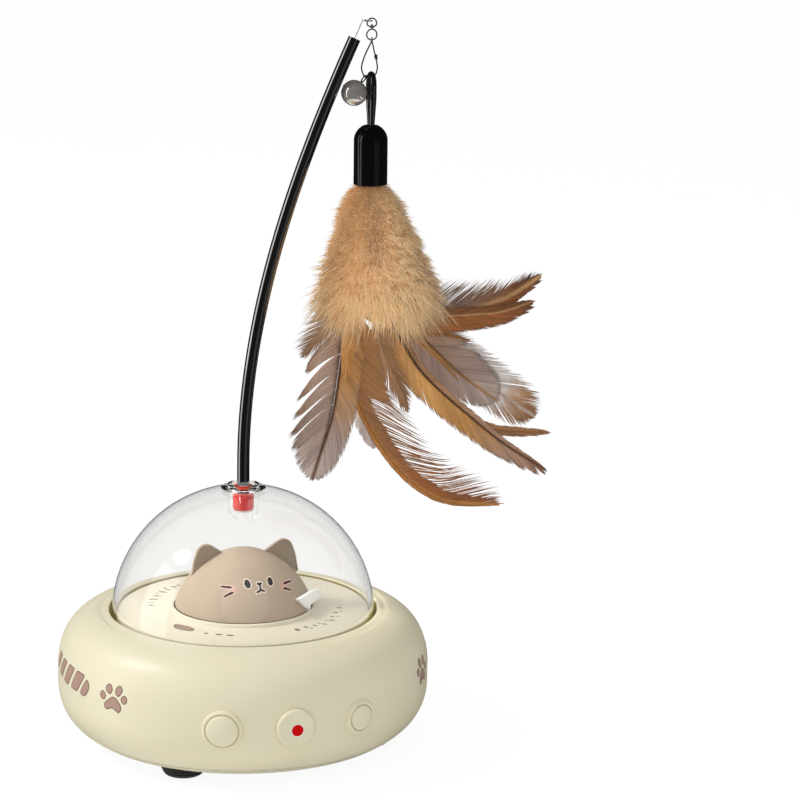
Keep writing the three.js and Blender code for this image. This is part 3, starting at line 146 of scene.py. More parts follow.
class Value:
    """A shader socket with arithmetic: an expression on values adds its Math nodes."""

    def __init__(self, finish, socket):
        self.finish = finish
        self.socket = socket

    def maths(self, operation, first, second=0.0):
        return self.finish.node("ShaderNodeMath", {"operation": operation}, {0: first, 1: second})

    def __add__(self, other):
        return self.maths("ADD", self, other)

    __radd__ = __add__

    def __sub__(self, other):
        return self.maths("SUBTRACT", self, other)

    def __rsub__(self, other):
        return self.maths("SUBTRACT", other, self)

    def __mul__(self, other):
        return self.maths("MULTIPLY", self, other)

    __rmul__ = __mul__

    def __gt__(self, other):
        return self.maths("GREATER_THAN", self, other)

    def absolute(self):
        return self.maths("ABSOLUTE", self)

    def or_more(self, other):
        """The larger of the two values."""
        return self.maths("MAXIMUM", self, other)


class Finish:
    """A material: one Principled shader, and the nodes that vary it."""

    def __init__(self, name, **constants):
        self.material = bpy.data.materials.new(name)
        self.material.use_nodes = True
        self.tree = self.material.node_tree
        self.shader = self.tree.nodes["Principled BSDF"]
        self.output = self.tree.nodes["Material Output"]
        for words, value in constants.items():
            self.shader.inputs[words.replace("_", " ")].default_value = value

    def node(self, kind, settings, inputs, output=0):
        made = self.tree.nodes.new(kind)
        for name, setting in settings.items():
            if name == "stops":
                self.set_stops(made.color_ramp, setting)
            else:
                setattr(made, name, setting)
        for key, value in inputs.items():
            if isinstance(value, Value):
                self.tree.links.new(value.socket, made.inputs[key])
            else:
                made.inputs[key].default_value = value
        return Value(self, made.outputs[output])

    def set_stops(self, ramp, stops):
        while len(ramp.elements) < len(stops):
            ramp.elements.new(0.5)
        for element, (place, colour) in zip(ramp.elements, stops):
            element.position = place
            element.color = linear(colour)

    def drive(self, **links):
        for words, value in links.items():
            self.tree.links.new(value.socket, self.shader.inputs[words.replace("_", " ")])

    def place(self):
        return self.node("ShaderNodeTexCoord", {}, {}, "Object")

    def noise(self, scale, detail=3.0, place=None):
        return self.node("ShaderNodeTexNoise", {}, {"Vector": place or self.place(), "Scale": scale,
                                                    "Detail": detail}, "Fac")

    def mix(self, factor, first, second):
        return self.node("ShaderNodeMix", {"data_type": "RGBA"}, {0: factor, 6: first, 7: second}, 2)

    def ramp(self, factor, *stops):
        return self.node("ShaderNodeValToRGB", {"stops": stops}, {"Fac": factor}, "Color")

    def fit(self, value, low, high):
        """A 0 to 1 value spread between two numbers."""
        return value * (high - low) + low

    def clamp(self, value):
        """The value held between 0 and 1."""
        return self.node("ShaderNodeClamp", {}, {"Value": value}, "Result")

    def bump(self, height, strength, distance):
        self.drive(Normal=self.node("ShaderNodeBump", {}, {"Height": height, "Strength": strength,
                                                           "Distance": distance}, "Normal"))

    def mapping(self, place, **inputs):
        return self.node("ShaderNodeMapping", {}, {"Vector": place, **inputs}, "Vector")


FINISHES = {}
BLUSH_RINGS = 5
TAUPE = (172, 154, 132)
BLUSH = (206, 152, 138)


def finish(name, **constants):
    made = Finish(name, **constants)
    FINISHES[name] = made.material
    return made


def moulded(name, colour, shade, roughness, grain=0.12, tone_scale=45, **constants):
    """Moulded plastic or rubber: slow changes of tone, a fine grain and a faint mottle in the gloss."""
    made = finish(name, **constants)
    slow = made.noise(tone_scale, 2.0)
    fine = made.noise(2600, 2.0)
    mottle = made.noise(420, 3.0)
    made.drive(Base_Color=made.mix(made.fit(slow, 0.0, 0.9) + made.fit(fine, -0.1, 0.1),
                                   linear(colour), linear(shade)),
               Roughness=made.fit(mottle, roughness - 0.05, roughness + 0.05))
    made.bump(fine, grain, 0.00006)
    return made


def metal(name, colour, dark, roughness, streak=(1, 1, 1), solid=1.0):
    """Plated or drawn metal with a faint haze and fine scratches along one way."""
    made = finish(name, Metallic=solid)
    stretched = made.mapping(made.place(), Scale=streak)
    scratches = made.noise(1500, 4.0, stretched)
    haze = made.noise(260, 2.0)
    made.drive(Base_Color=made.mix(haze, linear(colour), linear(dark)),
               Roughness=made.fit(scratches, roughness * 0.6, roughness * 1.5))
    made.bump(scratches, 0.08, 0.00003)
    return made


def make_plain_finishes():
    moulded("cream", (245, 238, 209), (240, 232, 199), 0.38, Specular_IOR_Level=0.3)
    moulded("plate_cream", (212, 204, 183), (206, 198, 175), 0.5)
    moulded("taupe", TAUPE, (164, 146, 125), 0.75, grain=0.08)
    moulded("ear_inside", (150, 132, 110), (140, 123, 102), 0.75, grain=0.08)
    moulded("white", (254, 254, 254), (251, 251, 252), 0.42)
    moulded("red_silicone", (252, 34, 8), (240, 26, 6), 0.5, Specular_IOR_Level=0.1)
    moulded("gloss_black", (8, 8, 9), (12, 12, 13), 0.13, grain=0.02, Specular_IOR_Level=0.5)
    moulded("sleeve_black", (7, 7, 8), (11, 11, 12), 0.12, grain=0.02, Specular_IOR_Level=1.0,
            Coat_Weight=0.8, Coat_Roughness=0.05, Coat_IOR=2.6)
    moulded("foot_rubber", (22, 22, 23), (31, 31, 31), 0.62, grain=0.4)
    moulded("loop_black", (6, 6, 7), (10, 10, 11), 0.12, grain=0.03, Specular_IOR_Level=1.0,
            Coat_Weight=0.8, Coat_Roughness=0.05, Coat_IOR=2.6)
    moulded("nylon", (232, 229, 218), (224, 220, 206), 0.55, Subsurface_Weight=0.08)
    moulded("switch_black", (24, 24, 26), (33, 33, 34), 0.5)
    moulded("cell_wrap", (32, 96, 160), (26, 84, 144), 0.3, grain=0.15, Coat_Weight=0.5)
    moulded("print_brown", (132, 104, 90), (120, 93, 80), 0.55)
    moulded("print_pink", (190, 155, 139), (180, 143, 127), 0.55)
    moulded("print_black", (10, 7, 7), (14, 10, 10), 0.7, Specular_IOR_Level=0.1)
    moulded("print_white", (250, 247, 240), (245, 241, 233), 0.55)
    moulded("print_red", (226, 2, 2), (210, 2, 3), 0.6, Specular_IOR_Level=0.1)
    moulded("whisker_red", (78, 16, 18), (60, 12, 14), 0.7, Specular_IOR_Level=0.1)
    moulded("print_pale", (222, 208, 192), (216, 202, 186), 0.6)
    # painted highlight: the grey of the glints in the eyes
    moulded("painted_glint_grey", (48, 42, 38), (42, 36, 33), 0.7, Specular_IOR_Level=0.1)
    moulded("print_taupe", (154, 130, 112), (144, 120, 103), 0.55)
    moulded("print_olive", (84, 72, 48), (72, 62, 42), 0.55)
    moulded("down_skin", (226, 174, 118), (206, 154, 100), 0.9, grain=0.5, tone_scale=260)
    # painted shade: the darker golden-brown of the well's inner wall stands in for the shadow in the gap
    # round the dome
    moulded("well_painted_shade", (172, 152, 88), (158, 138, 78), 0.5)
    # painted shade: the dark brown of the groove round the head stands in for the shadow in the gap
    moulded("groove_painted_shade", (96, 76, 52), (84, 66, 45), 0.6)
    for k in range(BLUSH_RINGS):
        tone = [a + (b - a) * (k + 1) / BLUSH_RINGS for a, b in zip(TAUPE, BLUSH)]
        moulded(f"blush_{k}", tone, [c - 6 for c in tone], 0.72)
    metal("steel", (198, 194, 188), (150, 146, 140), 0.24, streak=(1, 1, 12))
    metal("wire", (150, 142, 130), (96, 88, 78), 0.24, streak=(1, 1, 10))
    metal("core_wire", (226, 225, 222), (206, 204, 200), 0.3, streak=(1, 1, 10))
    metal("chrome", (226, 220, 212), (206, 200, 192), 0.1, solid=0.7)


def make_board_finish():
    """Green circuit board with copper tracks under its mask."""
    made = finish("circuit_board", Coat_Weight=0.4, Coat_Roughness=0.2)
    tracks = made.node("ShaderNodeTexBrick", {"offset": 0.5}, {
        "Vector": made.place(), "Scale": 160.0, "Mortar Size": 0.05,
        "Color1": (0, 0, 0, 1), "Color2": (0, 0, 0, 1), "Mortar": (1, 1, 1, 1)}, "Color")
    slow = made.noise(300, 2.0)
    green = made.mix(slow, linear((18, 92, 50)), linear((14, 76, 42)))
    made.drive(Base_Color=made.mix(tracks, green, linear((44, 132, 78))),
               Roughness=made.fit(slow, 0.35, 0.5))


def make_clear_finish():
    """Clear polished plastic that lets the lamps through to what is inside."""
    made = finish("clear", Transmission_Weight=1.0, IOR=1.45, Specular_IOR_Level=0.35)
    haze = made.noise(90, 2.0)
    tint = made.mix(haze, linear((255, 255, 255)), linear((254, 254, 253)))
    made.drive(Base_Color=tint, Roughness=made.fit(made.noise(500, 2.0), 0.0, 0.03))
    shadow = made.node("ShaderNodeLightPath", {}, {}, "Is Shadow Ray")
    see_through = made.node("ShaderNodeBsdfTransparent", {}, {"Color": (0.96, 0.96, 0.95, 1)})
    mixed = made.node("ShaderNodeMixShader", {}, {
        0: shadow, 1: Value(made, made.shader.outputs[0]), 2: see_through})
    made.tree.links.new(mixed.socket, made.output.inputs["Surface"])


def make_feather_finish(name, upper, lower, edge, quill_shade, edge_start=0.75):
    """Barbs coloured along the quill on each side of it, then towards their tips, each with its shade."""
    made = finish(name, Roughness=0.55, Sheen_Weight=0.15, Sheen_Roughness=0.4)
    place = made.node("ShaderNodeUVMap", {"uv_map": "vane"}, {}, "UV")
    parts = made.tree.nodes.new("ShaderNodeSeparateXYZ")
    made.tree.links.new(place.socket, parts.inputs[0])
    along = Value(made, parts.outputs["X"])
    across = Value(made, parts.outputs["Y"])
    wave = made.fit(made.noise(7, 3.0, made.mapping(place, Scale=(1.5, 1, 1))), -0.09, 0.09)
    side = made.mix(across > 0.5, made.ramp(along + wave, *lower), made.ramp(along + wave, *upper))
    out = (across - 0.5).absolute() * 2
    edge_mask = (out + wave * 2 - edge_start) * (1 / (1 - edge_start))
    edged = made.mix(made.clamp(edge_mask), side, linear(edge))
    near_quill = made.clamp((0.09 - out) * 12)
    based = made.mix(near_quill, edged, linear(quill_shade))
    strand = made.node("ShaderNodeAttribute", {"attribute_name": "strand"}, {}, "Fac")
    fleck = made.noise(900, 2.0)
    light = made.fit(strand, 0.78, 1.16) * made.fit(fleck, 0.9, 1.1)
    hue = made.node("ShaderNodeHueSaturation", {}, {"Color": based, "Value": light}, "Color")
    made.drive(Base_Color=hue)


def make_fluff_finish():
    """Down: warm tan, paler towards the strands' tips, with darker strands among them."""
    made = finish("fluff", Roughness=0.85, Sheen_Weight=0.25, Sheen_Roughness=0.5)
    strand = made.node("ShaderNodeAttribute", {"attribute_name": "strand"}, {}, "Fac")
    along = made.node("ShaderNodeAttribute", {"attribute_name": "along"}, {}, "Fac")
    tan = made.ramp(strand, (0.0, (124, 84, 52)), (0.06, (168, 120, 76)), (0.1, (240, 180, 112)),
                    (0.5, (252, 208, 144)), (0.88, (255, 232, 186)), (0.93, (184, 158, 140)),
                    (1.0, (112, 92, 80)))
    clumps = made.noise(160, 2.0)
    toned = made.mix(made.fit(clumps, 0.0, 0.4), tan, linear((244, 190, 122)))
    made.drive(Base_Color=made.mix(made.fit(along, 0.0, 0.3), toned, linear((255, 230, 190))))


# Mesh tools
def link(name, mesh, *materials):
    """An object of the mesh, with its materials, at the origin."""
    made = bpy.data.objects.new(name, mesh)
    bpy.context.collection.objects.link(made)
    for material in materials:
        mesh.materials.append(FINISHES[material])
    return made


def settle(name, bm, *materials, sharp=35, smooth=True):
    """Ends a piece made in millimetres: closed, facing out, smooth but for its sharp edges, in metres."""
    bmesh.ops.scale(bm, vec=(MM, MM, MM), verts=bm.verts)
    for face in bm.faces:
        face.smooth = smooth
    limit = math.radians(sharp)
    for edge in bm.edges:
        edge.smooth = len(edge.link_faces) == 2 and edge.calc_face_angle() < limit
    mesh = bpy.data.meshes.new(name)
    bm.to_mesh(mesh)
    bm.free()
    return link(name, mesh, *materials)


def tidy(bm):
    bmesh.ops.remove_doubles(bm, verts=bm.verts, dist=0.0005)
    bmesh.ops.recalc_face_normals(bm, faces=bm.faces)
    return bm


def rounded(outline, steps=5):
    """An outline's points, (across, up) or (across, up, radius), with an arc at each that has a radius."""
    points = []
    count = len(outline)
    for i, corner in enumerate(outline):
        here = Vector(corner[:2])
        if len(corner) == 2:
            points.append(tuple(here))
            continue
        before = (Vector(outline[i - 1][:2]) - here).normalized()
        after = (Vector(outline[(i + 1) % count][:2]) - here).normalized()
        half = before.angle(after) / 2
        centre = here + (before + after).normalized() * (corner[2] / math.sin(half))
        start = here + before * (corner[2] / math.tan(half)) - centre
        end = here + after * (corner[2] / math.tan(half)) - centre
        turn = start.angle_signed(end)
        for k in range(steps + 1):
            arm = Matrix.Rotation(-turn * k / steps, 2) @ start
            points.append(tuple(centre + arm))
    return points


def bezier(control, steps):
    """Points along a cubic curve, both ends included."""
    points = []
    for k in range(steps + 1):
        t = k / steps
        weights = ((1 - t) ** 3, 3 * t * (1 - t) ** 2, 3 * t * t * (1 - t), t ** 3)
        points.append(tuple(sum(w * c[axis] for w, c in zip(weights, control)) for axis in (0, 1)))
    return points


def turned(profile, steps=96, closed=True):
    """A full spin of a profile about Z. A closed profile joins its last point to its first."""
    bm = bmesh.new()
    verts = [bm.verts.new((r, 0, z)) for r, z in profile]
    edges = [bm.edges.new(pair) for pair in zip(verts, verts[1:])]
    if closed:
        edges.append(bm.edges.new((verts[-1], verts[0])))
    bmesh.ops.spin(bm, geom=verts + edges, axis=(0, 0, 1), cent=(0, 0, 0), angle=TAU, steps=steps,
                   use_merge=True, use_duplicate=False)
    return tidy(bm)


def ball(radius, steps=48):
    bm = bmesh.new()
    bmesh.ops.create_uvsphere(bm, u_segments=steps, v_segments=steps // 2, radius=radius)
    return bm


def rod(radius, bottom, top, steps=48):
    bm = bmesh.new()
    bmesh.ops.create_cone(bm, cap_ends=True, segments=steps, radius1=radius, radius2=radius,
                          depth=top - bottom, matrix=Matrix.Translation((0, 0, (top + bottom) / 2)))
    return bm


def block(width, depth, height, centre):
    bm = bmesh.new()
    bmesh.ops.create_cube(bm, size=1, matrix=Matrix.Translation(centre)
                          @ Matrix.Diagonal((width, depth, height, 1)))
    return bm


def moved(bm, matrix):
    bmesh.ops.transform(bm, matrix=matrix, verts=bm.verts)
    return bm


def prism(outline, bottom, top):
    """An upright block on an outline in the XY plane."""
    bm = bmesh.new()
    face = bm.faces.new([bm.verts.new((x, y, bottom)) for x, y in outline])
    side = bmesh.ops.extrude_face_region(bm, geom=[face])
    risen = [v for v in side["geom"] if isinstance(v, bmesh.types.BMVert)]
    bmesh.ops.translate(bm, vec=(0, 0, top - bottom), verts=risen)
    return tidy(bm)


def joined(*parts):
    """Several meshes in one, each kept as its own closed body."""
    whole = bmesh.new()
    for part in parts:
        mesh = bpy.data.meshes.new("part")
        part.to_mesh(mesh)
        part.free()
        whole.from_mesh(mesh)
        bpy.data.meshes.remove(mesh)
    return whole


def evaluated(made):
    """The object's mesh with its modifiers or its curve worked out. The object is removed."""
    bpy.context.view_layer.update()
    view = bpy.context.evaluated_depsgraph_get()
    mesh = bpy.data.meshes.new_from_object(made.evaluated_get(view))
    bpy.data.objects.remove(made)
    return mesh


def boolean(body, operation, *tools):
    """The body cut by, joined to or kept within the tools."""
    parts = []
    for bm in (body, *tools):
        mesh = bpy.data.meshes.new("part")
        bm.to_mesh(mesh)
        bm.free()
        parts.append(bpy.data.objects.new("part", mesh))
        bpy.context.collection.objects.link(parts[-1])
    for tool in parts[1:]:
        cut = parts[0].modifiers.new("cut", "BOOLEAN")
        cut.operation = operation
        cut.solver = "EXACT"
        cut.object = tool
    mesh = evaluated(parts[0])
    for tool in parts[1:]:
        bpy.data.objects.remove(tool)
    result = bmesh.new()
    result.from_mesh(mesh)
    bpy.data.meshes.remove(mesh)
    bmesh.ops.remove_doubles(result, verts=result.verts, dist=0.001)
    return result


def section(outline):
    """A closed flat curve that a strand's section follows."""
    data = bpy.data.curves.new("section", "CURVE")
    data.dimensions = "2D"
    spline = data.splines.new("POLY")
    spline.points.add(len(outline) - 1)
    for point, (x, y) in zip(spline.points, outline):
        point.co = (x, y, 0, 1)
    spline.use_cyclic_u = True
    made = bpy.data.objects.new("section", data)
    bpy.context.collection.objects.link(made)
    return made


def oval(sides, flat=1.0):
    return [(math.cos(TAU * k / sides), flat * math.sin(TAU * k / sides)) for k in range(sides)]


def strand_mesh(paths, outline, shades=None):
    """Many strands in one mesh: each path is a list of (x, y, z, radius), all equally long, that starts and
    ends in a point. The attributes strand and along hold each strand's own shade and the way along it."""
    data = bpy.data.curves.new("strands", "CURVE")
    data.dimensions = "3D"
    data.twist_mode = "Z_UP"
    data.bevel_mode = "OBJECT"
    data.bevel_object = section(outline)
    for path in paths:
        spline = data.splines.new("POLY")
        spline.points.add(len(path) - 1)
        spline.points.foreach_set("co", [n for x, y, z, _ in path for n in (x, y, z, 1)])
        spline.points.foreach_set("radius", [radius for *_, radius in path])
    outline_object = data.bevel_object
    made = bpy.data.objects.new("strands", data)
    bpy.context.collection.objects.link(made)
    mesh = evaluated(made)
    bpy.data.objects.remove(outline_object)
    for layer in list(mesh.uv_layers):
        mesh.uv_layers.remove(layer)
    stations = len(paths[0])
    sides = len(outline)
    per_strand = stations * sides
    if len(mesh.vertices) != per_strand * len(paths):
        raise ValueError("a strand lost points")
    shades = shades or [0.5] * len(paths)
    mesh.attributes.new("strand", "FLOAT", "POINT").data.foreach_set(
        "value", np.repeat(np.array(shades, dtype=np.float32), per_strand))
    along = np.repeat(np.linspace(0, 1, stations, dtype=np.float32), sides)
    mesh.attributes.new("along", "FLOAT", "POINT").data.foreach_set("value", np.tile(along, len(paths)))
    return mesh


def corners(mesh):
    flat = np.empty(len(mesh.vertices) * 3)
    mesh.vertices.foreach_get("co", flat)
    return flat.reshape(-1, 3)


def set_corners(mesh, places):
    mesh.vertices.foreach_set("co", places.ravel())
    mesh.update()


def close_ends(mesh):
    """Merges the strands' pointed ends, so that each strand is closed."""
    bm = bmesh.new()
    bm.from_mesh(mesh)
    bmesh.ops.remove_doubles(bm, verts=bm.verts, dist=1e-8)
    bmesh.ops.recalc_face_normals(bm, faces=bm.faces)
    for face in bm.faces:
        face.smooth = True
    bm.to_mesh(mesh)
    bm.free()


def wire(name, points, radius, material, resolution=6, closed=False, steps=10, widths=None):
    """A round wire along a smooth curve through the points. Widths multiply its radius at each point."""
    data = bpy.data.curves.new(name, "CURVE")
    data.dimensions = "3D"
    data.bevel_depth = radius * MM
    data.bevel_resolution = resolution
    data.use_fill_caps = not closed
    spline = data.splines.new("POLY")
    route = smooth_route(points, steps, closed)
    spline.points.add(len(route) - 1)
    widths = widths or [1] * len(points)
    for i, (point, place) in enumerate(zip(spline.points, route)):
        point.co = (*(Vector(place) * MM), 1)
        point.radius = float(np.interp(i / steps, range(len(widths)), widths))
    spline.use_cyclic_u = closed
    made = bpy.data.objects.new(name, data)
    bpy.context.collection.objects.link(made)
    mesh = evaluated(made)
    for layer in list(mesh.uv_layers):
        mesh.uv_layers.remove(layer)
    bm = bmesh.new()
    bm.from_mesh(mesh)
    bpy.data.meshes.remove(mesh)
    bmesh.ops.remove_doubles(bm, verts=bm.verts, dist=1e-7)
    bmesh.ops.recalc_face_normals(bm, faces=bm.faces)
    bmesh.ops.scale(bm, vec=(1 / MM, 1 / MM, 1 / MM), verts=bm.verts)
    return settle(name, bm, material, sharp=50)


def smooth_route(points, steps, closed=False):
    """A smooth curve through the points, each stretch in equal steps."""
    points = [Vector(p) for p in points]
    count = len(points)
    route = []
    for i in range(count if closed else count - 1):
        if closed:
            p0, p1, p2, p3 = (points[(i + k) % count] for k in (-1, 0, 1, 2))
        else:
            p0, p1, p2, p3 = (points[min(max(i + k, 0), count - 1)] for k in (-1, 0, 1, 2))
        for k in range(steps):
            t = k / steps
            route.append(0.5 * (2 * p1 + (p2 - p0) * t + (2 * p0 - 5 * p1 + 4 * p2 - p3) * t * t
                                + (3 * p1 - p0 - 3 * p2 + p3) * t ** 3))
    if not closed:
        route.append(points[-1])
    return [tuple(p) for p in route]


def dress(made, body, slot, *nodes):
    """Says which body the piece rides and which nodes it stands for, whose solids it hides. The slot is not
    used.
    """
    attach(made, body)
    if nodes:
        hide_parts(*nodes)
    return made


# Base
CREASE_RADIUS = 57.3
CREASE_DEPTH = 0.4
CREASE_WIDTH = 0.95
SHOULDER_POINTS = [(r, z - CREASE_DEPTH * math.exp(-((r - CREASE_RADIUS) / CREASE_WIDTH) ** 2))
                   for r, z in bezier(SHOULDER, 120)]
LOWER_POINTS = bezier(LOWER, 24)
OUTSIDE = SHOULDER_POINTS + LOWER_POINTS
# The shoulder's point at which the rounded lip has run out
LIP_END = 5
LIP_ROUNDING = 0.6
WELL_WALL = 2


def base_radius(height):
    """Radius of the base's outer surface at a height, or at each of several."""
    heights = [z for _, z in reversed(OUTSIDE)]
    radii = [r for r, _ in reversed(OUTSIDE)]
    return np.interp(height, heights, radii)


def inward(points, wall):
    """The points of an outline moved inwards by a wall."""
    result = []
    for i, here in enumerate(points):
        before = Vector(points[max(i - 1, 0)])
        after = Vector(points[min(i + 1, len(points) - 1)])
        along = (after - before).normalized()
        result.append((here[0] + along.y * wall, here[1] - along.x * wall))
    return result


BUTTON_HEIGHT = 21.7
BUTTON_TURN = math.radians(21.7)
# Radii of cap, bezel ring and hole, the cap's front edge from the base's axis and the rise of its crown
BUTTONS = [
    {"side": "left", "turn": -BUTTON_TURN, "cap": 6.3, "ring": 8.1, "rise": 1.1, "hole": 7.6, "front": 76.6},
    {"side": "middle", "turn": 0, "cap": 7.65, "ring": 0, "rise": -0.55, "hole": 7.95, "front": 76.7},
    {"side": "right", "turn": BUTTON_TURN, "cap": 5, "ring": 7.3, "rise": 0.8, "hole": 6.3, "front": 76.6},
]
# A cap's flange and stem from the base's axis, and a bezel ring's foot from the shell's face
BUTTON_INSIDE = 71.5
FLANGE_BACK = 70.5
FLANGE_WIDTH = 0.8
STEM_BACK = 68.3
STEM_RADIUS = 2
RING_FOOT = -2.6


def outward(turn):
    """Turns a piece built along +Z so that it faces out of the base at a button's place."""
    return (Matrix.Rotation(turn, 4, "Z") @ Matrix.Translation((0, 0, BUTTON_HEIGHT))
            @ Matrix.Rotation(math.pi / 2, 4, "X"))


def make_base():
    """The one-piece shell with its well and deck, its holes, and the cover below it."""
    well = LIP_RADIUS + WELL_WALL
    inside_shoulder = [p for p in inward(SHOULDER_POINTS, SHELL_WALL) if p[0] > well + 2]
    inside_lower = [p for p in inward(LOWER_POINTS, SHELL_WALL) if p[1] > PARTING_HEIGHT + SHELL_WALL]
    outside_lower = [p for p in LOWER_POINTS if p[1] > PARTING_HEIGHT]
    parting = float(base_radius(PARTING_HEIGHT))
    profile = [(SPINDLE_BORE, SPINDLE_BOTTOM), *rounded([
        (SPINDLE_BORE, SPINDLE_TOP), (SPINDLE_RADIUS, SPINDLE_TOP, 0.4), (SPINDLE_RADIUS, DECK_TOP, 0.8),
        (LIP_RADIUS, DECK_TOP, 1), (LIP_RADIUS, LIP_HEIGHT)])[:-1],
        *rounded([(LIP_RADIUS, DECK_TOP), (LIP_RADIUS, LIP_HEIGHT, LIP_ROUNDING),
                  SHOULDER_POINTS[LIP_END]])[1:-1],
        *SHOULDER_POINTS[LIP_END:], *outside_lower, (parting, PARTING_HEIGHT),
        (parting - SHELL_WALL, PARTING_HEIGHT), *reversed(inside_lower), *reversed(inside_shoulder),
        (well, inside_shoulder[0][1]), (well, DECK_UNDER), (SPINDLE_RADIUS, DECK_UNDER),
        (SPINDLE_RADIUS, SPINDLE_BOTTOM)]
    shell = turned(profile, 160)
    hole_start = BUTTON_INSIDE - SHELL_WALL - CUT_OVERRUN
    holes = [moved(rod(button["hole"], hole_start, BASE_RADIUS + CUT_OVERRUN, 64),
                   outward(button["turn"])) for button in BUTTONS]
    holes.append(usb_hole())
    shell = boolean(shell, "DIFFERENCE", *holes)
    # The well's inner wall faces take the second finish, a darker golden-brown that is painted shade for the
    # gap between the dome and the lip
    for face in shell.faces:
        middle = face.calc_center_median()
        in_well = middle.xy.length < LIP_RADIUS + 0.05
        face.material_index = int(in_well and DECK_TOP < middle.z < LIP_HEIGHT - 0.4)
    made = settle("base_body", shell, "cream", "well_painted_shade", sharp=40)
    dress(made, "base", "cream_plastic", "base_shell")
    make_cover(parting)


USB_HEIGHT = 13.5
USB_HALF = 2.9
USB_ROUND = 2
USB_INSIDE = 66


def usb_hole():
    """The charging socket's opening at the back: a slot with round ends."""
    outline = []
    for side, start in ((1, -math.pi / 2), (-1, math.pi / 2)):
        for k in range(13):
            turn = start + math.pi * k / 12
            outline.append((side * USB_HALF + USB_ROUND * math.cos(turn), USB_ROUND * math.sin(turn)))
    slot = prism(outline, USB_INSIDE, BASE_RADIUS + CUT_OVERRUN)
    return moved(slot, Matrix.Translation((0, 0, USB_HEIGHT)) @ Matrix.Rotation(-math.pi / 2, 4, "X"))


FOOT_CIRCLE = 52.03
FOOT_TURNS = {"front_left": -132.27, "front_right": -29, "rear_left": 151, "rear_right": 47.73}
SCREW_CIRCLE = 50
SCREW_TURNS = (8, 172, 188, 352)
SCREW_RECESS = (3.3, 1.7)
COVER_RIM_TOP = 6
COVER_RIM_WALL = 2
# Outlines as (radius, height) with a rounding where a third number is given
SCREW_OUTLINE = [(0, 0.2), (3, 0.2, 0.4), (3, 1.4), (1.2, 1.4), (1.2, 12), (0, 12)]
FOOT_OUTLINE = [(0, -5.5), (7.3, -5.5, 1.3), (8.3, -4.0, 0.1), (8.15, -3.6, 0.1), (8.95, -2.7, 0.1),
                (8.8, -2.3, 0.1), (9.5, -1.5, 0.1), (9.4, -1.1, 0.1), (9.95, -0.6, 0.1),
                (9.95, -SEAT_GAP), (3, -SEAT_GAP), (3, 1.1), (0, 1.1)]


def on_circle(radius, turn):
    return (radius * math.cos(math.radians(turn)), radius * math.sin(math.radians(turn)))


def make_cover(parting):
    """The bottom cover with its four sunk screws and the four feet."""
    edge = [p for p in LOWER_POINTS if p[1] < COVER_TOP]
    rim = parting - SHELL_WALL - SEAT_GAP
    profile = [(0, 0), *reversed(edge), (float(base_radius(COVER_TOP)), COVER_TOP), (rim, COVER_TOP),
               (rim, COVER_RIM_TOP), (rim - COVER_RIM_WALL, COVER_RIM_TOP),
               (rim - COVER_RIM_WALL, COVER_TOP), (0, COVER_TOP)]
    places = [on_circle(SCREW_CIRCLE, turn) for turn in SCREW_TURNS]
    recess, depth = SCREW_RECESS
    recesses = [moved(rod(recess, -1, depth, 32), Matrix.Translation((x, y, 0))) for x, y in places]
    cover = boolean(turned(profile, 128, closed=False), "DIFFERENCE", *recesses)
    dress(settle("cover", cover, "cream"), "base", "cream_plastic", "bottom_cover")
    screws = []
    for x, y in places:
        head = turned(rounded(SCREW_OUTLINE), 32, closed=False)
        cross = [block(3.4, 0.7, 1.4, (0, 0, 0.2)), block(0.7, 3.4, 1.4, (0, 0, 0.2))]
        screws.append(moved(boolean(head, "DIFFERENCE", *cross), Matrix.Translation((x, y, 0))))
    names = [f"cover_screw_{i + 1}" for i in range(len(places))]
    dress(settle("cover_screws", joined(*screws), "steel"), "base", "steel", *names)
    for side, turn in FOOT_TURNS.items():
        x, y = on_circle(FOOT_CIRCLE, turn)
        foot = turned(rounded(FOOT_OUTLINE, 3), 64, closed=False)
        made = settle(f"pad_{side}", moved(foot, Matrix.Translation((x, y, 0))), "foot_rubber")
        dress(made, "base", "black_rubber", f"foot_{side}")


# Prints: closed outlines drawn flat in millimetres and laid on a surface
def oval_outline(x, y, half_width, half_height, turn=0.0, count=12):
    arm = Matrix.Rotation(turn, 2)
    places = [arm @ Vector((half_width * math.cos(TAU * k / count), half_height * math.sin(TAU * k / count)))
              for k in range(count)]
    return [(x + place.x, y + place.y) for place in places]


def line_outline(start, end, half_width, bulge=0.0, count=7):
    """A line from start to end with round ends, thinner towards its end and bowed aside by bulge."""
    start, end = Vector(start), Vector(end)
    aside = Vector((start.y - end.y, end.x - start.x)).normalized()
    there, back = [], []
    for k in range(count):
        t = k / (count - 1)
        centre = start.lerp(end, t) + aside * (bulge * 4 * t * (1 - t))
        width = half_width * (1 - 0.35 * t) * (0.35 if k in (0, count - 1) else 1)
        there.append(tuple(centre + aside * width))
        back.append(tuple(centre - aside * width))
    return there + back[::-1]


def grown(outline, extra):
    """The outline moved outwards by extra all round."""
    places = [Vector(p) for p in outline]
    count = len(places)
    turning = sum(places[i].cross(places[(i + 1) % count]) for i in range(count))
    sign = 1 if turning > 0 else -1
    result = []
    for i, here in enumerate(places):
        along = (places[(i + 1) % count] - places[i - 1]).normalized()
        result.append(tuple(here + Vector((along.y, -along.x)) * (extra * sign)))
    return result


PRINT_THICKNESS = 0.03
PRINT_LIFT = 0.05


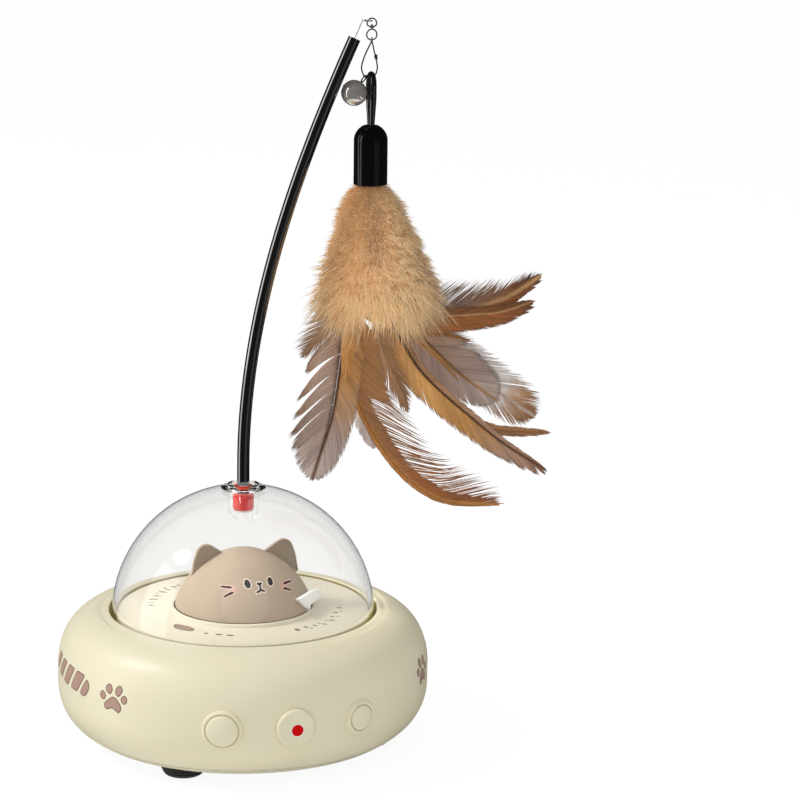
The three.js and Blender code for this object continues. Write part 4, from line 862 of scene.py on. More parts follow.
def filled(outline, thickness, rings=3):
    """A smooth closed shape filled with rings round its middle, with a little thickness."""
    edge = [(x, y) for x, y, _ in smooth_route([(x, y, 0) for x, y in outline], 4, closed=True)]
    middle = (sum(x for x, _ in edge) / len(edge), sum(y for _, y in edge) / len(edge))
    bm = bmesh.new()
    loops = []
    for ring in range(rings):
        share = 1 - ring / rings
        loops.append([bm.verts.new((middle[0] + (x - middle[0]) * share,
                                    middle[1] + (y - middle[1]) * share, 0)) for x, y in edge])
    centre = bm.verts.new((*middle, 0))
    count = len(edge)
    for i in range(count):
        j = (i + 1) % count
        for outer, inner in zip(loops, loops[1:]):
            bm.faces.new((outer[i], outer[j], inner[j], inner[i]))
        bm.faces.new((loops[-1][i], loops[-1][j], centre))
    raised = bmesh.ops.extrude_face_region(bm, geom=bm.faces[:])
    top = [v for v in raised["geom"] if isinstance(v, bmesh.types.BMVert)]
    bmesh.ops.translate(bm, vec=(0, 0, thickness), verts=top)
    return bm


def print_mesh(outlines, lay, lift):
    """Filled shapes laid on a surface: lay turns across, up and the height above the surface to a place."""
    whole = joined(*[filled(outline, PRINT_THICKNESS) for outline in outlines])
    places = np.array([v.co[:] for v in whole.verts])
    for vert, place in zip(whole.verts, lay(places[:, 0], places[:, 1],
                                            places[:, 2] + lift - PRINT_THICKNESS)):
        vert.co = place
    bmesh.ops.recalc_face_normals(whole, faces=whole.faces)
    return whole


def lay_on_base(turn, height):
    """Lays a print on the base's outside, centred at a turn about Z from the front and a height."""
    def lay(across, up, above):
        z = height + up
        radius = base_radius(z)
        slope = (base_radius(z + 0.2) - base_radius(z - 0.2)) / 0.4
        tilt = np.sqrt(1 + slope ** 2)
        angle = turn + across / BASE_RADIUS
        out = radius + above / tilt
        return np.stack([out * np.sin(angle), -out * np.cos(angle), z - above * slope / tilt], axis=1)
    return lay


def lay_on_plate(across, up, above):
    return np.stack([across, up, PLATE_FACE + above], axis=1)


def head_radius(height):
    """Radius of the cat head at a height above the plate."""
    share = np.clip(height / HEAD_HEIGHT, 0, 1)
    return HEAD_RADIUS * (1 - share ** HEAD_POWER) ** (1 / HEAD_POWER)


def lay_on_head(across, up, above):
    """Lays a face print on the front of the head: across is X and up is the height above the plate."""
    radius = head_radius(up)
    front = -np.sqrt(np.maximum(radius ** 2 - across ** 2, 0.01))
    slope = (head_radius(up + 0.1) - head_radius(up - 0.1)) / 0.2
    normal = np.stack([across / radius, front / radius, -slope], axis=1)
    normal /= np.linalg.norm(normal, axis=1, keepdims=True)
    return np.stack([across, front, PLATE_TOP + up], axis=1) + normal * above[:, None]


def make_print(name, outlines, lay, material, body, slot, lift=PRINT_LIFT):
    return dress(settle(name, print_mesh(outlines, lay, lift), material, sharp=80), body, slot)


def make_edged_print(name, outlines, lay, materials, body, slot, edge):
    """A print whose outlines have a darker edge."""
    make_print(f"{name}_edge", outlines, lay, materials[0], body, slot, 0.04)
    make_print(name, [grown(outline, -edge) for outline in outlines], lay, materials[1], body, slot, 0.08)


PAW_TURN = math.radians(57.5)
PAW_HEIGHT = 28
PRINT_EDGE = 0.42
PAW = [
    [(-6.7, 2.3), (-5.3, 1.6), (-4.5, 0.4), (-5.5, -1.2), (-7.3, -0.9), (-8.0, 0.6)],
    [(-3.4, 5.6), (-1.7, 4.9), (-1.1, 3.3), (-2.4, 1.6), (-4.4, 2.4), (-5.0, 4.1)],
    [(2.2, 5.9), (3.8, 5.1), (4.0, 3.5), (2.3, 1.5), (0.6, 2.3), (0.5, 4.4)],
    [(5.1, 2.5), (6.5, 1.8), (6.7, 0.3), (5.5, -1.0), (3.9, -0.3), (3.5, 1.1)],
    [(-1.0, 0.9), (-3.2, -0.6), (-5.2, -2.4), (-5.4, -4.1), (-3.9, -4.9), (-2.1, -4.1), (-0.9, -3.8),
     (0.6, -4.4), (2.2, -5.1), (3.6, -3.9), (3.7, -2.2), (2.5, -0.5), (0.9, 0.7)],
]
TAIL_TURN = math.radians(84)
TAIL_HEIGHT = 31
TAIL = [
    [(17.4, 0.7), (18.9, -0.3), (19.4, -1.8), (18.8, -3.7), (16.8, -5.9), (14.8, -6.5), (12.9, -5.9),
     (13.4, -4.4), (14.8, -2.2), (16.1, -0.3)],
    [(9.1, 2.1), (12.2, 2.1), (15.2, 1.8), (14.6, 0.2), (12.9, -2.4), (10.7, -5.2), (9.2, -6.1),
     (6.9, -6.1), (4.5, -5.8), (5.2, -4.0), (6.6, -1.6), (7.9, 0.6)],
    [(0.8, 2.4), (3.5, 2.3), (6.2, 2.0), (5.5, 0.3), (3.9, -2.2), (1.7, -5.2), (0.2, -6.1), (-1.8, -5.9),
     (-3.9, -5.4), (-3.2, -3.7), (-1.8, -1.4), (-0.4, 0.9)],
    [(-7.0, 2.6), (-4.8, 2.5), (-2.7, 2.2), (-3.5, 0.2), (-5.2, -2.5), (-7.2, -5.0), (-9.3, -4.8),
     (-11.3, -4.1), (-10.4, -1.8), (-8.6, 1.0)],
    [(-15.2, 3.0), (-13.0, 2.8), (-10.9, 2.4), (-12.4, -0.4), (-14.4, -3.0), (-16.4, -3.9), (-18.3, -2.7),
     (-17.2, 0.4)],
]


def mirrored(outlines):
    """The outlines with left and right changed over."""
    return [[(-x, y) for x, y in outline] for outline in outlines]


def make_base_prints():
    colours = ("print_brown", "print_pink")
    for side, sign in (("left", -1), ("right", 1)):
        paw, tail = (PAW, TAIL) if sign < 0 else (mirrored(PAW), mirrored(TAIL))
        make_edged_print(f"paw_{side}", paw, lay_on_base(sign * PAW_TURN, PAW_HEIGHT), colours, "base",
                         "cream_plastic", PRINT_EDGE)
        make_edged_print(f"tail_{side}", tail, lay_on_base(sign * TAIL_TURN, TAIL_HEIGHT), colours,
                         "base", "cream_plastic", PRINT_EDGE)


# Buttons
def lay_on_button(turn):
    """Lays a print or ring about a button's axis, following the base's curved outside."""
    def lay(across, up, above):
        z = BUTTON_HEIGHT + up
        radius = base_radius(z)
        front = -np.sqrt(radius ** 2 - across ** 2) - above
        cos, sin = math.cos(turn), math.sin(turn)
        return np.stack([across * cos - front * sin, across * sin + front * cos, z], axis=1)
    return lay


def laid(bm, lay):
    """A piece built about Z, with its height above the surface as z, laid by the function."""
    places = np.array([v.co[:] for v in bm.verts])
    for vert, place in zip(bm.verts, lay(places[:, 0], places[:, 1], places[:, 2])):
        vert.co = place
    return tidy(bm)


def make_button(button):
    """A cap with a shallow groove round it, and a raised ring on the base or a printed dot on the cap."""
    side, turn, cap, rise, front = (button[key] for key in ("side", "turn", "cap", "rise", "front"))
    skirt = cap + 0.25 if button["ring"] else button["hole"] - 0.05
    flange = button["hole"] + FLANGE_WIDTH
    crown = [(cap * (1 - t), front + rise * (1 - (1 - t) ** 2)) for t in np.linspace(0.2, 1, 14)]
    profile = [(0, STEM_BACK), (STEM_RADIUS, STEM_BACK), (STEM_RADIUS, FLANGE_BACK), (flange, FLANGE_BACK),
               (flange, BUTTON_INSIDE), (skirt, BUTTON_INSIDE), (skirt, front - 1.2), (cap, front - 1.1),
               *rounded([(cap, BUTTON_INSIDE), (cap, front, 1.0), crown[0]], 8)[1:-1], *crown]
    made = settle(f"cap_{side}", moved(turned(profile, 72, closed=False), outward(turn)), "cream")
    dress(made, f"{side}_button", "cream_plastic", f"button_{side}")
    if button["ring"]:
        inner = cap + SEAT_GAP
        ring = turned(rounded([(inner, RING_FOOT), (inner, 1.5, 0.55), (inner + 1.15, 1.45, 0.7),
                               (button["ring"], 0.02, 0.1), (button["hole"] - SEAT_GAP, 0.02, 0.05),
                               (button["hole"] - SEAT_GAP, RING_FOOT)], 6), 72)
        made = settle(f"ring_{side}", laid(ring, lay_on_button(turn)), "cream")
        dress(made, "base", "cream_plastic", f"bezel_{side}")
    else:
        for name, radius, lift, material in (("dot_edge", 2.85, 0.03, "print_white"),
                                             ("dot", 2.35, 0.07, "print_red")):
            spot = turned([(0, 0), (radius, 0), (radius - 0.04, 0.03), (0, 0.03)], 40, closed=False)
            share = 1 - radius / cap
            height = front + rise * (1 - (1 - share) ** 2) + lift
            place = outward(turn) @ Matrix.Translation((0.5, -0.6, height))
            made = settle(name, moved(spot, place), material)
            dress(made, "middle_button", "cream_plastic")


# Turntable
DISC_BORE = 5.3
PLATE_THICKNESS = 1.8
PLATE_SKIRT = 1.5
NOTCH_START, NOTCH_END = 3.6, 8
NOTCH_ROOM = 0.8
NOTCH_OVERRUN = 1.4


def make_turntable():
    """The disc, the ring-shaped plate with the tab's notch at its opening, and all that stands on them."""
    disc = turned(rounded([(DISC_BORE, DISC_BOTTOM), (DISC_BORE, DISC_TOP, 0.3),
                           (DOME_RADIUS, DISC_TOP, 0.4), (DOME_RADIUS, DISC_BOTTOM, 0.4)], 3), 128)
    dress(settle("disc", disc, "plate_cream"), "turntable", "cream_plastic", "turntable_disc")
    under = PLATE_FACE - PLATE_THICKNESS
    skirt = PLATE_RADIUS - PLATE_SKIRT
    plate = turned(rounded([
        (PLATE_OPENING + 0.4, PLATE_BOTTOM), (PLATE_OPENING, RING_TOP - 0.4), (PLATE_OPENING, RING_TOP, 0.3),
        (PLATE_OPENING + 1.35, RING_TOP, 0.5), (PLATE_OPENING + 1.6, PLATE_FACE + 0.1, 0.2),
        (PLATE_OPENING + 2, PLATE_FACE), (PLATE_RADIUS, PLATE_FACE, 0.4),
        (PLATE_RADIUS, PLATE_BOTTOM), (skirt, PLATE_BOTTOM), (skirt, under),
        (PLATE_OPENING + 1.6, under), (PLATE_OPENING + 1.6, PLATE_BOTTOM)], 4), 128)
    notch = tab_block(NOTCH_START, NOTCH_END, TAB_THICKNESS + NOTCH_ROOM,
                      PLATE_BOTTOM - NOTCH_OVERRUN, RING_TOP + NOTCH_OVERRUN)
    plate = boolean(plate, "DIFFERENCE", notch)
    # Faces inside the plate's opening take the second finish, a dark brown that is painted shade for the gap
    # round the head
    for face in plate.faces:
        middle = face.calc_center_median()
        face.material_index = int(middle.xy.length < PLATE_OPENING + 0.4 and middle.z < RING_TOP - 0.25)
    dress(settle("plate", plate, "plate_cream", "groove_painted_shade"), "turntable", "cream_plastic", "cover_plate")
    make_plate_marks()
    make_head()
    make_tab()
    make_dome()


# Marks on the plate as (x, y, half length), dashes as (x, y, turn, half length), and the oval's outline
LEFT_MARKS = [(-35.3, 12.4, 0.8), (-35.0, 16.5, 0.5), (-33.6, 15.5, 0.4), (-32.8, 20.3, 0.8),
              (-31.3, 19.3, 0.4), (-30.4, 24.8, 0.8), (-29.0, 27.9, 0.5), (-28.8, 23.9, 0.4),
              (-26.2, 29.3, 0.8), (-27.4, 30.9, 0.4), (-24.4, 34.3, 0.5), (-23.5, 31.8, 0.6),
              (-20.2, 35.3, 0.9), (-18.0, 36.9, 0.6)]
RIGHT_MARKS = [(12.1, -35.7, 1.1), (16.4, -33.2, 0.8), (18.0, -35.2, 0.4), (20.4, -32.3, 0.7),
               (22.8, -30.0, 0.4), (24.6, -31.5, 0.6), (26.7, -26.8, 0.4), (28.8, -27.5, 0.7),
               (30.4, -23.0, 0.6), (32.6, -23.3, 0.4), (33.4, -18.0, 0.7), (36.0, -17.0, 0.4),
               (36.8, -12.3, 0.7), (38.4, -9.5, 0.4)]
FRONT_DASHES = [(-23.4, -30.1, 2.5, 0.8), (-19.0, -33.0, 2.6, 1.6), (-15.1, -35.3, 2.7, 1.6)]
PLATE_OVAL = [(-33.1, -17.1), (-31.8, -15.3), (-29.8, -17.1), (-27.7, -19.9), (-26.6, -22.8),
              (-27.0, -25.0), (-28.3, -25.7), (-30.4, -24.3), (-32.4, -21.7), (-33.4, -19.4)]


def mark_outlines(marks, rng):
    """Short uneven dashes that stand out from the middle of the plate."""
    outlines = []
    for x, y, half in marks:
        turn = math.atan2(y, x) + rng.uniform(-0.4, 0.4)
        outlines.append(oval_outline(x, y, half * rng.uniform(1.5, 2.2), half * 0.75, turn, 8))
    return outlines


def make_plate_marks():
    rng = random.Random(4)
    marks = mark_outlines(LEFT_MARKS + RIGHT_MARKS, rng)
    marks += [oval_outline(x, y, long, 0.75, turn, 8) for x, y, turn, long in FRONT_DASHES]
    make_print("plate_marks", marks, lay_on_plate, "print_olive", "turntable", "cream_plastic")
    make_edged_print("plate_oval", [PLATE_OVAL], lay_on_plate, ("print_olive", "print_taupe"), "turntable",
                     "cream_plastic", 0.5)


def make_head():
    """The hollow half-round head in the plate's opening, with its ears and its face."""
    turns = [math.pi / 2 * k / 28 for k in range(29)]

    def hill(radius, height):
        return [(radius * math.cos(t) ** (2 / HEAD_POWER) if t < math.pi / 2 - 0.001 else 0,
                 PLATE_TOP + height * math.sin(t) ** (2 / HEAD_POWER)) for t in turns]

    inside = hill(HEAD_RADIUS - HEAD_WALL, HEAD_HEIGHT - HEAD_WALL)
    outside = [(r, z) for r, z in hill(HEAD_RADIUS, HEAD_HEIGHT) if z > RING_TOP]
    profile = [(HEAD_FOOT, PLATE_BOTTOM), (HEAD_FOOT, RING_TOP - 0.5), *outside, *reversed(inside),
               (HEAD_RADIUS - HEAD_WALL, PLATE_BOTTOM)]
    head = turned(profile, 128)
    # The head's faces low in the plate's opening take the second finish, a dark brown that is painted shade
    # for the dark line round the head
    for face in head.faces:
        face.material_index = int(face.calc_center_median().z < RING_TOP + 0.3)
    dress(settle("head", head, "taupe", "groove_painted_shade"), "turntable", "taupe_plastic", "cat_head")
    for side, sign in (("left", -1), ("right", 1)):
        make_ear(side, sign, hill(HEAD_RADIUS - 0.4, HEAD_HEIGHT - 0.4))
    make_face()


EAR_OUTLINE = [(22.6, 13.5), (21.4, 20.6, 14), (18.2, 29.6, 4.2), (8.4, 22.9), (8.4, 14), (14, 7)]
EAR_THICKNESS = 2.4
EAR_SETBACK = 3.1
EAR_ASIDE = 1.3


def make_ear(side, sign, hill):
    """A rounded ear with a thin rim round its sunk front face, cut to sit on the head."""
    bm = prism(rounded(EAR_OUTLINE, 8), -EAR_THICKNESS / 2, EAR_THICKNESS / 2)
    moved(bm, Matrix.Translation((0, 0, PLATE_TOP)) @ Matrix.Rotation(math.pi / 2, 4, "X"))
    for place, offset in ((-EAR_THICKNESS / 2, 0.45), (EAR_THICKNESS / 2, 1.4)):
        rim = [e for e in bm.edges if all(abs(v.co.y - place) < 0.01 for v in e.verts)]
        bmesh.ops.bevel(bm, geom=rim, affect="EDGES", offset=offset, segments=5, profile=0.5, material=-1,
                        clamp_overlap=True)
    front = min((f for f in bm.faces if len(f.verts) > 12), key=lambda f: f.calc_center_median().y)
    front.material_index = 1
    bmesh.ops.inset_region(bm, faces=[front], thickness=0.3, use_even_offset=True)
    bmesh.ops.translate(bm, vec=(0, 0.25, 0), verts=front.verts)
    if sign < 0:
        bmesh.ops.scale(bm, vec=(-1, 1, 1), verts=bm.verts)
        bmesh.ops.recalc_face_normals(bm, faces=bm.faces)
    moved(bm, Matrix.Translation((EAR_ASIDE, EAR_SETBACK, 0)))
    core = turned([(0, PLATE_BOTTOM), (HEAD_RADIUS - 0.4, PLATE_BOTTOM), *hill], 96, closed=False)
    ear = boolean(bm, "DIFFERENCE", core)
    made = settle(f"cat_ear_{side}", ear, "taupe", "ear_inside")
    dress(made, "turntable", "taupe_plastic", f"ear_{side}")


def make_face():
    """The printed face: eyes, nose and mouth with pale edges, whiskers and blush, and a painted highlight in
    each eye.
    """
    marks = [oval_outline(-3.7, 15.9, 1.2, 1.42, 0.1), oval_outline(5.8, 16.0, 1.12, 1.38, 0.1),
             line_outline((0.0, 15.9), (2.1, 15.9), 0.5, -0.2), line_outline((1.0, 15.9), (1.2, 13.9), 0.46),
             line_outline((1.35, 14.2), (-1.0, 13.0), 0.46, 0.3),
             line_outline((1.0, 14.2), (3.0, 13.2), 0.46, -0.3)]
    # A grey spot in each eye: a painted highlight
    glints = [oval_outline(-3.55, 16.0, 0.22, 0.26), oval_outline(5.95, 16.0, 0.2, 0.25)]
    whiskers = [line_outline((-9.7, 14.8), (-14.0, 14.8), 0.48, 0.1),
                line_outline((-9.5, 13.2), (-13.5, 11.2), 0.5, -0.15),
                line_outline((11.4, 14.35), (15.9, 14.2), 0.46, 0.1),
                line_outline((10.9, 13.0), (14.8, 11.5), 0.46, 0.1)]
    for k in range(BLUSH_RINGS):
        share = 1 - k / BLUSH_RINGS
        blush = [oval_outline(-9.6, 14.1, 2.6 * share, 1.9 * share),
                 oval_outline(10.9, 13.7, 2.2 * share, 1.9 * share)]
        make_print(f"face_blush_{k}", blush, lay_on_head, f"blush_{k}", "turntable", "taupe_plastic",
                   0.03 + 0.006 * k)
    edges = [grown(outline, 0.38) for outline in marks] + [grown(outline, 0.2) for outline in whiskers]
    make_print("face_edges", edges, lay_on_head, "print_pale", "turntable", "taupe_plastic", 0.07)
    make_print("face_marks", marks, lay_on_head, "print_black", "turntable", "taupe_plastic", 0.1)
    make_print("face_glints", glints, lay_on_head, "painted_glint_grey", "turntable", "taupe_plastic", 0.12)
    make_print("face_whiskers", whiskers, lay_on_head, "whisker_red", "turntable", "taupe_plastic", 0.1)


TAB_START = (19.1, -19.45)
TAB_TURN = math.radians(51)
TAB_THICKNESS = 1.6
# The tab's outline as (along, height) with its roundings: the strip, then its leg
TAB_OUTLINE = [(-6.1, 57.2), (11.5, 56.3, 1.6), (19.4, 54.6, 1.2), (19.2, 51.2, 0.9), (7.2, 51.2),
               (7.2, PLATE_BOTTOM), (4.4, PLATE_BOTTOM), (4.4, 51.2), (2.3, 51.2)]


def tab_block(start, end, thickness, bottom, top):
    bm = block(end - start, thickness, top - bottom, ((start + end) / 2, 0, (bottom + top) / 2))
    return moved(bm, tab_place())


def tab_place():
    return Matrix.Translation((*TAB_START, 0)) @ Matrix.Rotation(TAB_TURN, 4, "Z")


def make_tab():
    """The white strip along the head's flank: round at its outer end, with a thin leg in the notch."""
    bm = prism(rounded(TAB_OUTLINE, 7), -TAB_THICKNESS / 2, TAB_THICKNESS / 2)
    sharp = [e for e in bm.edges
             if e.calc_face_angle() > 1.2 and abs(e.verts[0].co.z - e.verts[1].co.z) < 0.1]
    bmesh.ops.bevel(bm, geom=sharp, affect="EDGES", offset=0.22, segments=3, profile=0.5, material=-1)
    moved(bm, tab_place() @ Matrix.Rotation(math.pi / 2, 4, "X"))
    dress(settle("tab", bm, "white"), "turntable", "white_plastic", "locating_tab")


SOCKET_BOTTOM = 85.4
CUP_BOTTOM = 88.8
CUP_RADIUS = 4.5
FLARE_RADIUS = 9


def dome_height(radius):
    """Height of the dome's outside at a radius."""
    return DOME_CENTRE + math.sqrt(DOME_RADIUS ** 2 - radius ** 2)


def dome_arc(radius, stop, steps):
    top = math.acos(stop / radius)
    return [(radius * math.cos(top * k / steps), DOME_CENTRE + radius * math.sin(top * k / steps))
            for k in range(steps + 1)]


def make_dome():
    """The clear dome and the socket on top of it, whose cup reaches down inside."""
    inside = DOME_RADIUS - DOME_WALL
    hole = SOCKET_RADIUS + SEAT_GAP
    profile = [*rounded([(inside, DOME_CENTRE), (inside, PLATE_BOTTOM, 0.5),
                         (DOME_RADIUS, PLATE_BOTTOM, 0.5), (DOME_RADIUS, DOME_CENTRE)], 4)[1:-1],
               *dome_arc(DOME_RADIUS, hole, 48), *reversed(dome_arc(inside, hole, 48))]
    dress(settle("dome_shell", turned(profile, 160), "clear"), "turntable", "clear_plastic", "dome")
    edge = dome_height(FLARE_RADIUS) + SEAT_GAP
    neck = dome_height(SOCKET_RADIUS) + SEAT_GAP
    profile = rounded([(0, SOCKET_BOTTOM), (4.4, SOCKET_BOTTOM, 1.6), (6.1, 88.2, 1.6),
                       (SOCKET_RADIUS, neck - DOME_WALL, 0.8), (SOCKET_RADIUS, neck),
                       (FLARE_RADIUS, edge, 0.15), (FLARE_RADIUS, edge + 0.7, 0.3),
                       (SOCKET_RADIUS, neck + 1.2, 0.5), (SOCKET_RADIUS, SOCKET_TOP, 0.9),
                       (CUP_RADIUS, SOCKET_TOP, 0.7), (CUP_RADIUS, CUP_BOTTOM, 0.8), (0, CUP_BOTTOM)], 5)
    dress(settle("socket", turned(profile, 72, closed=False), "clear"), "turntable", "clear_plastic",
          "wand_socket")


# Wand
PLUG_OUTLINE = [(0, 89.1), (4.2, 89.1, 1.2), (4.2, 95.5, 0.3), (4.0, 96, 0.3), (4.2, 96.5, 0.3),
                (4.2, 99.2, 0.5), (2.7, 99.2, 0.3), (2.7, 90.7), (0, 90.7)]
HOOK_RADIUS = 2.2
HOOK_HEIGHT = 284.3
HOOK_START = -150
HOOK_SWEEP = 285
HOOK_WIRE = 0.2


def wand_points(bottom, steps=64):
    """The wand's centre line: straight up out of the plug, then one long bend to the tip."""
    control = [(0, WAND_STRAIGHT_TOP), (0, WAND_STRAIGHT_TOP + 60),
               (WAND_TIP[0] - WAND_PULL[0], WAND_TIP[1] - WAND_PULL[1]), WAND_TIP]
    straight = [(0, bottom + (WAND_STRAIGHT_TOP - bottom) * k / 8) for k in range(8)]
    return [(x, 0, z) for x, z in straight + bezier(control, steps)]


def make_wand():
    """The plug, the bent tube and its core wire, which leaves the tip and closes into a level hook."""
    plug = turned(rounded(PLUG_OUTLINE, 4), 64, closed=False)
    dress(settle("plug", plug, "red_silicone"), "wand", "red_silicone", "wand_plug")
    tube = wire("sleeve", wand_points(WAND_BOTTOM), SLEEVE_RADIUS, "sleeve_black", resolution=10, steps=1)
    dress(tube, "wand", "gloss_black", "wand_sleeve")
    run = Vector(WAND_PULL).normalized() * (2 * HOOK_RADIUS)
    route = [(WAND_TIP[0] + way * run.x, 0, WAND_TIP[1] + way * run.y) for way in (-1, 1)]
    centre = LURE_X - HOOK_RADIUS
    for k in range(7):
        turn = math.radians(HOOK_START + HOOK_SWEEP * k / 6)
        route.append((centre + HOOK_RADIUS * math.cos(turn), HOOK_RADIUS * math.sin(turn), HOOK_HEIGHT))
    dress(wire("hook", route, HOOK_WIRE, "core_wire"), "wand", "steel", "core_wire")


# Swivel, snap and bell
COLLAR_BOTTOM = 281.5
COLLAR_TOP = 282.1
FINE_WIRE = 0.28
ARCH_HALF = 1.95
RING_CENTRE = 278.82
RING_RADIUS = 2.1
STUD_OUTLINE = [(0, 280.8), (0.3, 280.8), (0.3, 282.4), (0.62, 282.4, 0.12), (0.62, 282.75, 0.12),
                (0, 282.75)]
# The snap's wire as shares: (of its reach across, of its depth aside, of its height up)
SNAP_SHARES = [(0.49, 1, 0.5), (0.32, 1, 0.66), (0.2, 1.1, 0.8), (0.08, 1.3, 0.93), (0, 0, 1),
               (-0.1, -1.3, 0.93), (-0.33, -0.8, 0.78), (-0.63, 0, 0.6), (-0.93, 0, 0.38), (-1, 0, 0.24),
               (-0.85, 0, 0.12), (-0.65, 0, 0.035), (-0.07, 0, 0), (0.37, 0, 0.07), (0.59, 0, 0.24),
               (0.55, 0.3, 0.38), (0.5, 0.8, 0.47)]
SNAP_REACH = 4.1
SNAP_ASIDE = 0.75
SNAP_TOP = 277.58
KNOT_RADIUS = 0.55
KNOT_TURNS = 2.25
KNOT_WIRE = 0.24


def on_lure_axis(profile, steps, closed=True):
    """A full spin of a profile about the lure's axis."""
    return moved(turned(profile, steps, closed), Matrix.Translation((LURE_X, 0, 0)))


def make_swivel():
    """The swivel's arch and collar, the snap's ring with its stud, and its bent wire with a knot."""
    top = HOOK_HEIGHT + 0.93
    foot = COLLAR_BOTTOM + 0.3
    bend = [(ARCH_HALF * math.cos(t), top - ARCH_HALF + ARCH_HALF * math.sin(t))
            for t in np.linspace(-0.35, math.pi + 0.35, 9)]
    arch = [(0.6, foot), *bend, (-0.6, foot)]
    made = wire("swivel_arch", [(LURE_X + x, 0, z) for x, z in arch], FINE_WIRE, "wire")
    dress(made, "swivel", "steel", "swivel_eye")
    collar = rounded([(0.5, COLLAR_BOTTOM), (0.95, COLLAR_BOTTOM, 0.15), (0.95, COLLAR_TOP, 0.15),
                      (0.5, COLLAR_TOP)], 3)
    dress(settle("swivel_collar", on_lure_axis(collar, 24), "wire"), "swivel", "steel")
    circle = [(LURE_X + RING_RADIUS * math.sin(TAU * k / 12), 0,
               RING_CENTRE + RING_RADIUS * math.cos(TAU * k / 12)) for k in range(12)]
    dress(wire("ring", circle, FINE_WIRE, "wire", closed=True, steps=4), "snap", "steel", "swivel_ring")
    stud = on_lure_axis(rounded(STUD_OUTLINE, 3), 20, closed=False)
    dress(settle("ring_stud", stud, "wire"), "snap", "steel")
    route = [(LURE_X + across * SNAP_REACH, aside * SNAP_ASIDE,
              SNAP_BOTTOM + up * (SNAP_TOP - SNAP_BOTTOM)) for across, aside, up in SNAP_SHARES]
    dress(wire("snap_wire", route, FINE_WIRE, "wire", steps=8), "snap", "steel", "snap_clip")
    knot = []
    for k in range(19):
        turn = TAU * KNOT_TURNS * k / 18
        t = k / 18
        knot.append((LURE_X + 0.49 * SNAP_REACH + KNOT_RADIUS * math.cos(turn) - 0.1 * t,
                     0.6 + KNOT_RADIUS * math.sin(turn), SNAP_BOTTOM + 7.5 + 1.6 * t))
    dress(wire("snap_knot", knot, KNOT_WIRE, "wire", steps=3), "snap", "steel")


BELL_RADIUS = 5.3
BELL_CENTRE = (45.3, 0, 256)
BELL_TILT = math.radians(36)
BELL_WALL = 0.55
SEAM_SWELL = 0.16
SEAM_WIDTH = 0.06
SLOT_WIDTH = 1.1
SLOT_END_RADIUS = 1.05
SLOT_END_TURN = 118
SHANK_RADIUS = 1.6
PELLET_RADIUS = 1.8


def make_bell():
    """A round bell: two cups pressed together at a seam, a slot with round ends and a shank ring."""
    place = Matrix.Translation(BELL_CENTRE) @ Matrix.Rotation(BELL_TILT, 4, "Y")
    outer = []
    steps = 40
    for k in range(steps + 1):
        turn = -math.pi / 2 + math.pi * k / steps
        swell = SEAM_SWELL * math.exp(-(turn / SEAM_WIDTH) ** 2)
        radius = BELL_RADIUS - SEAM_SWELL + swell
        outer.append((max(0, radius * math.cos(turn)), radius * math.sin(turn)))
    skin = turned(outer, 96, closed=False)
    hollow = ball(BELL_RADIUS - BELL_WALL)
    slot = block(9.4, SLOT_WIDTH, 6, (0, 0, -3.6))
    ends = [moved(rod(SLOT_END_RADIUS, 0, 7, 24),
                  Matrix.Rotation(math.radians(side * SLOT_END_TURN), 4, "Y")) for side in (-1, 1)]
    bell = moved(boolean(skin, "DIFFERENCE", hollow, slot, *ends), place)
    dress(settle("bell", bell, "chrome", sharp=30), "bell", "bell_chrome", "bell_shell")
    shank = BELL_RADIUS + SHANK_RADIUS - FINE_WIRE / 2
    ring = [place @ Vector((0, SHANK_RADIUS * math.sin(TAU * k / 10),
                            shank + SHANK_RADIUS * math.cos(TAU * k / 10))) for k in range(10)]
    dress(wire("bell_ring", ring, FINE_WIRE, "wire", closed=True, steps=4), "bell", "bell_chrome")
    rest = -BELL_RADIUS + 0.5 + SEAT_GAP + PELLET_RADIUS
    pellet = moved(ball(PELLET_RADIUS, 24), place @ Matrix.Translation((0, 0, rest)))
    dress(settle("pellet", pellet, "steel"), "bell", "steel", "bell_pellet")


# Lure
LOOP_RADIUS = 1.1
LOOP_HALF = 2.3
LOOP_NECK = 1.38
CROWN_HEIGHT = 6
CROWN_ARC = 1.13
CAP_WALL = 1.2
CAP_HOLE = 2.9


def make_lure_head():
    """The loop that hangs on the snap, and the hollow cap that holds its ends and the down."""
    top = SNAP_BOTTOM + FINE_WIRE + SEAT_GAP + LOOP_RADIUS
    bottom = CAP_TOP - CROWN_HEIGHT - LOOP_RADIUS
    neck = CAP_TOP + LOOP_RADIUS
    bulge = (neck + top) / 2
    route = [(-LOOP_NECK, bottom), (-LOOP_NECK, neck), (-LOOP_HALF, bulge), (-LOOP_HALF, top - LOOP_HALF),
             (0, top), (LOOP_HALF, top - LOOP_HALF), (LOOP_HALF, bulge), (LOOP_NECK, neck),
             (LOOP_NECK, bottom)]
    loop = wire("loop", [(LURE_X, y, z) for y, z in route], LOOP_RADIUS, "loop_black", resolution=8,
                widths=[1, 1, 1.3, 1.2, 1, 1.2, 1.3, 1, 1])
    dress(loop, "lure", "black_rubber", "lure_loop")
    crown = [(CAP_RADIUS * math.cos(t),
              CAP_TOP - CROWN_HEIGHT + CROWN_HEIGHT * math.sin(t) / math.sin(CROWN_ARC))
             for t in np.linspace(0, CROWN_ARC, 16)]
    inside = CAP_RADIUS - CAP_WALL
    roof = CAP_TOP - CROWN_HEIGHT - CAP_WALL
    profile = [*rounded([(inside, roof), (inside, CAP_BOTTOM, 0.4), (CAP_RADIUS, CAP_BOTTOM, 0.5),
                         (CAP_RADIUS, CAP_TOP - CROWN_HEIGHT - 1)], 4)[1:-1],
               *crown, (CAP_HOLE, CAP_TOP - 0.05), (CAP_HOLE, CAP_TOP - CROWN_HEIGHT), (inside, roof)]
    dress(settle("cap", on_lure_axis(profile, 72), "gloss_black"), "lure", "gloss_black", "lure_cap")


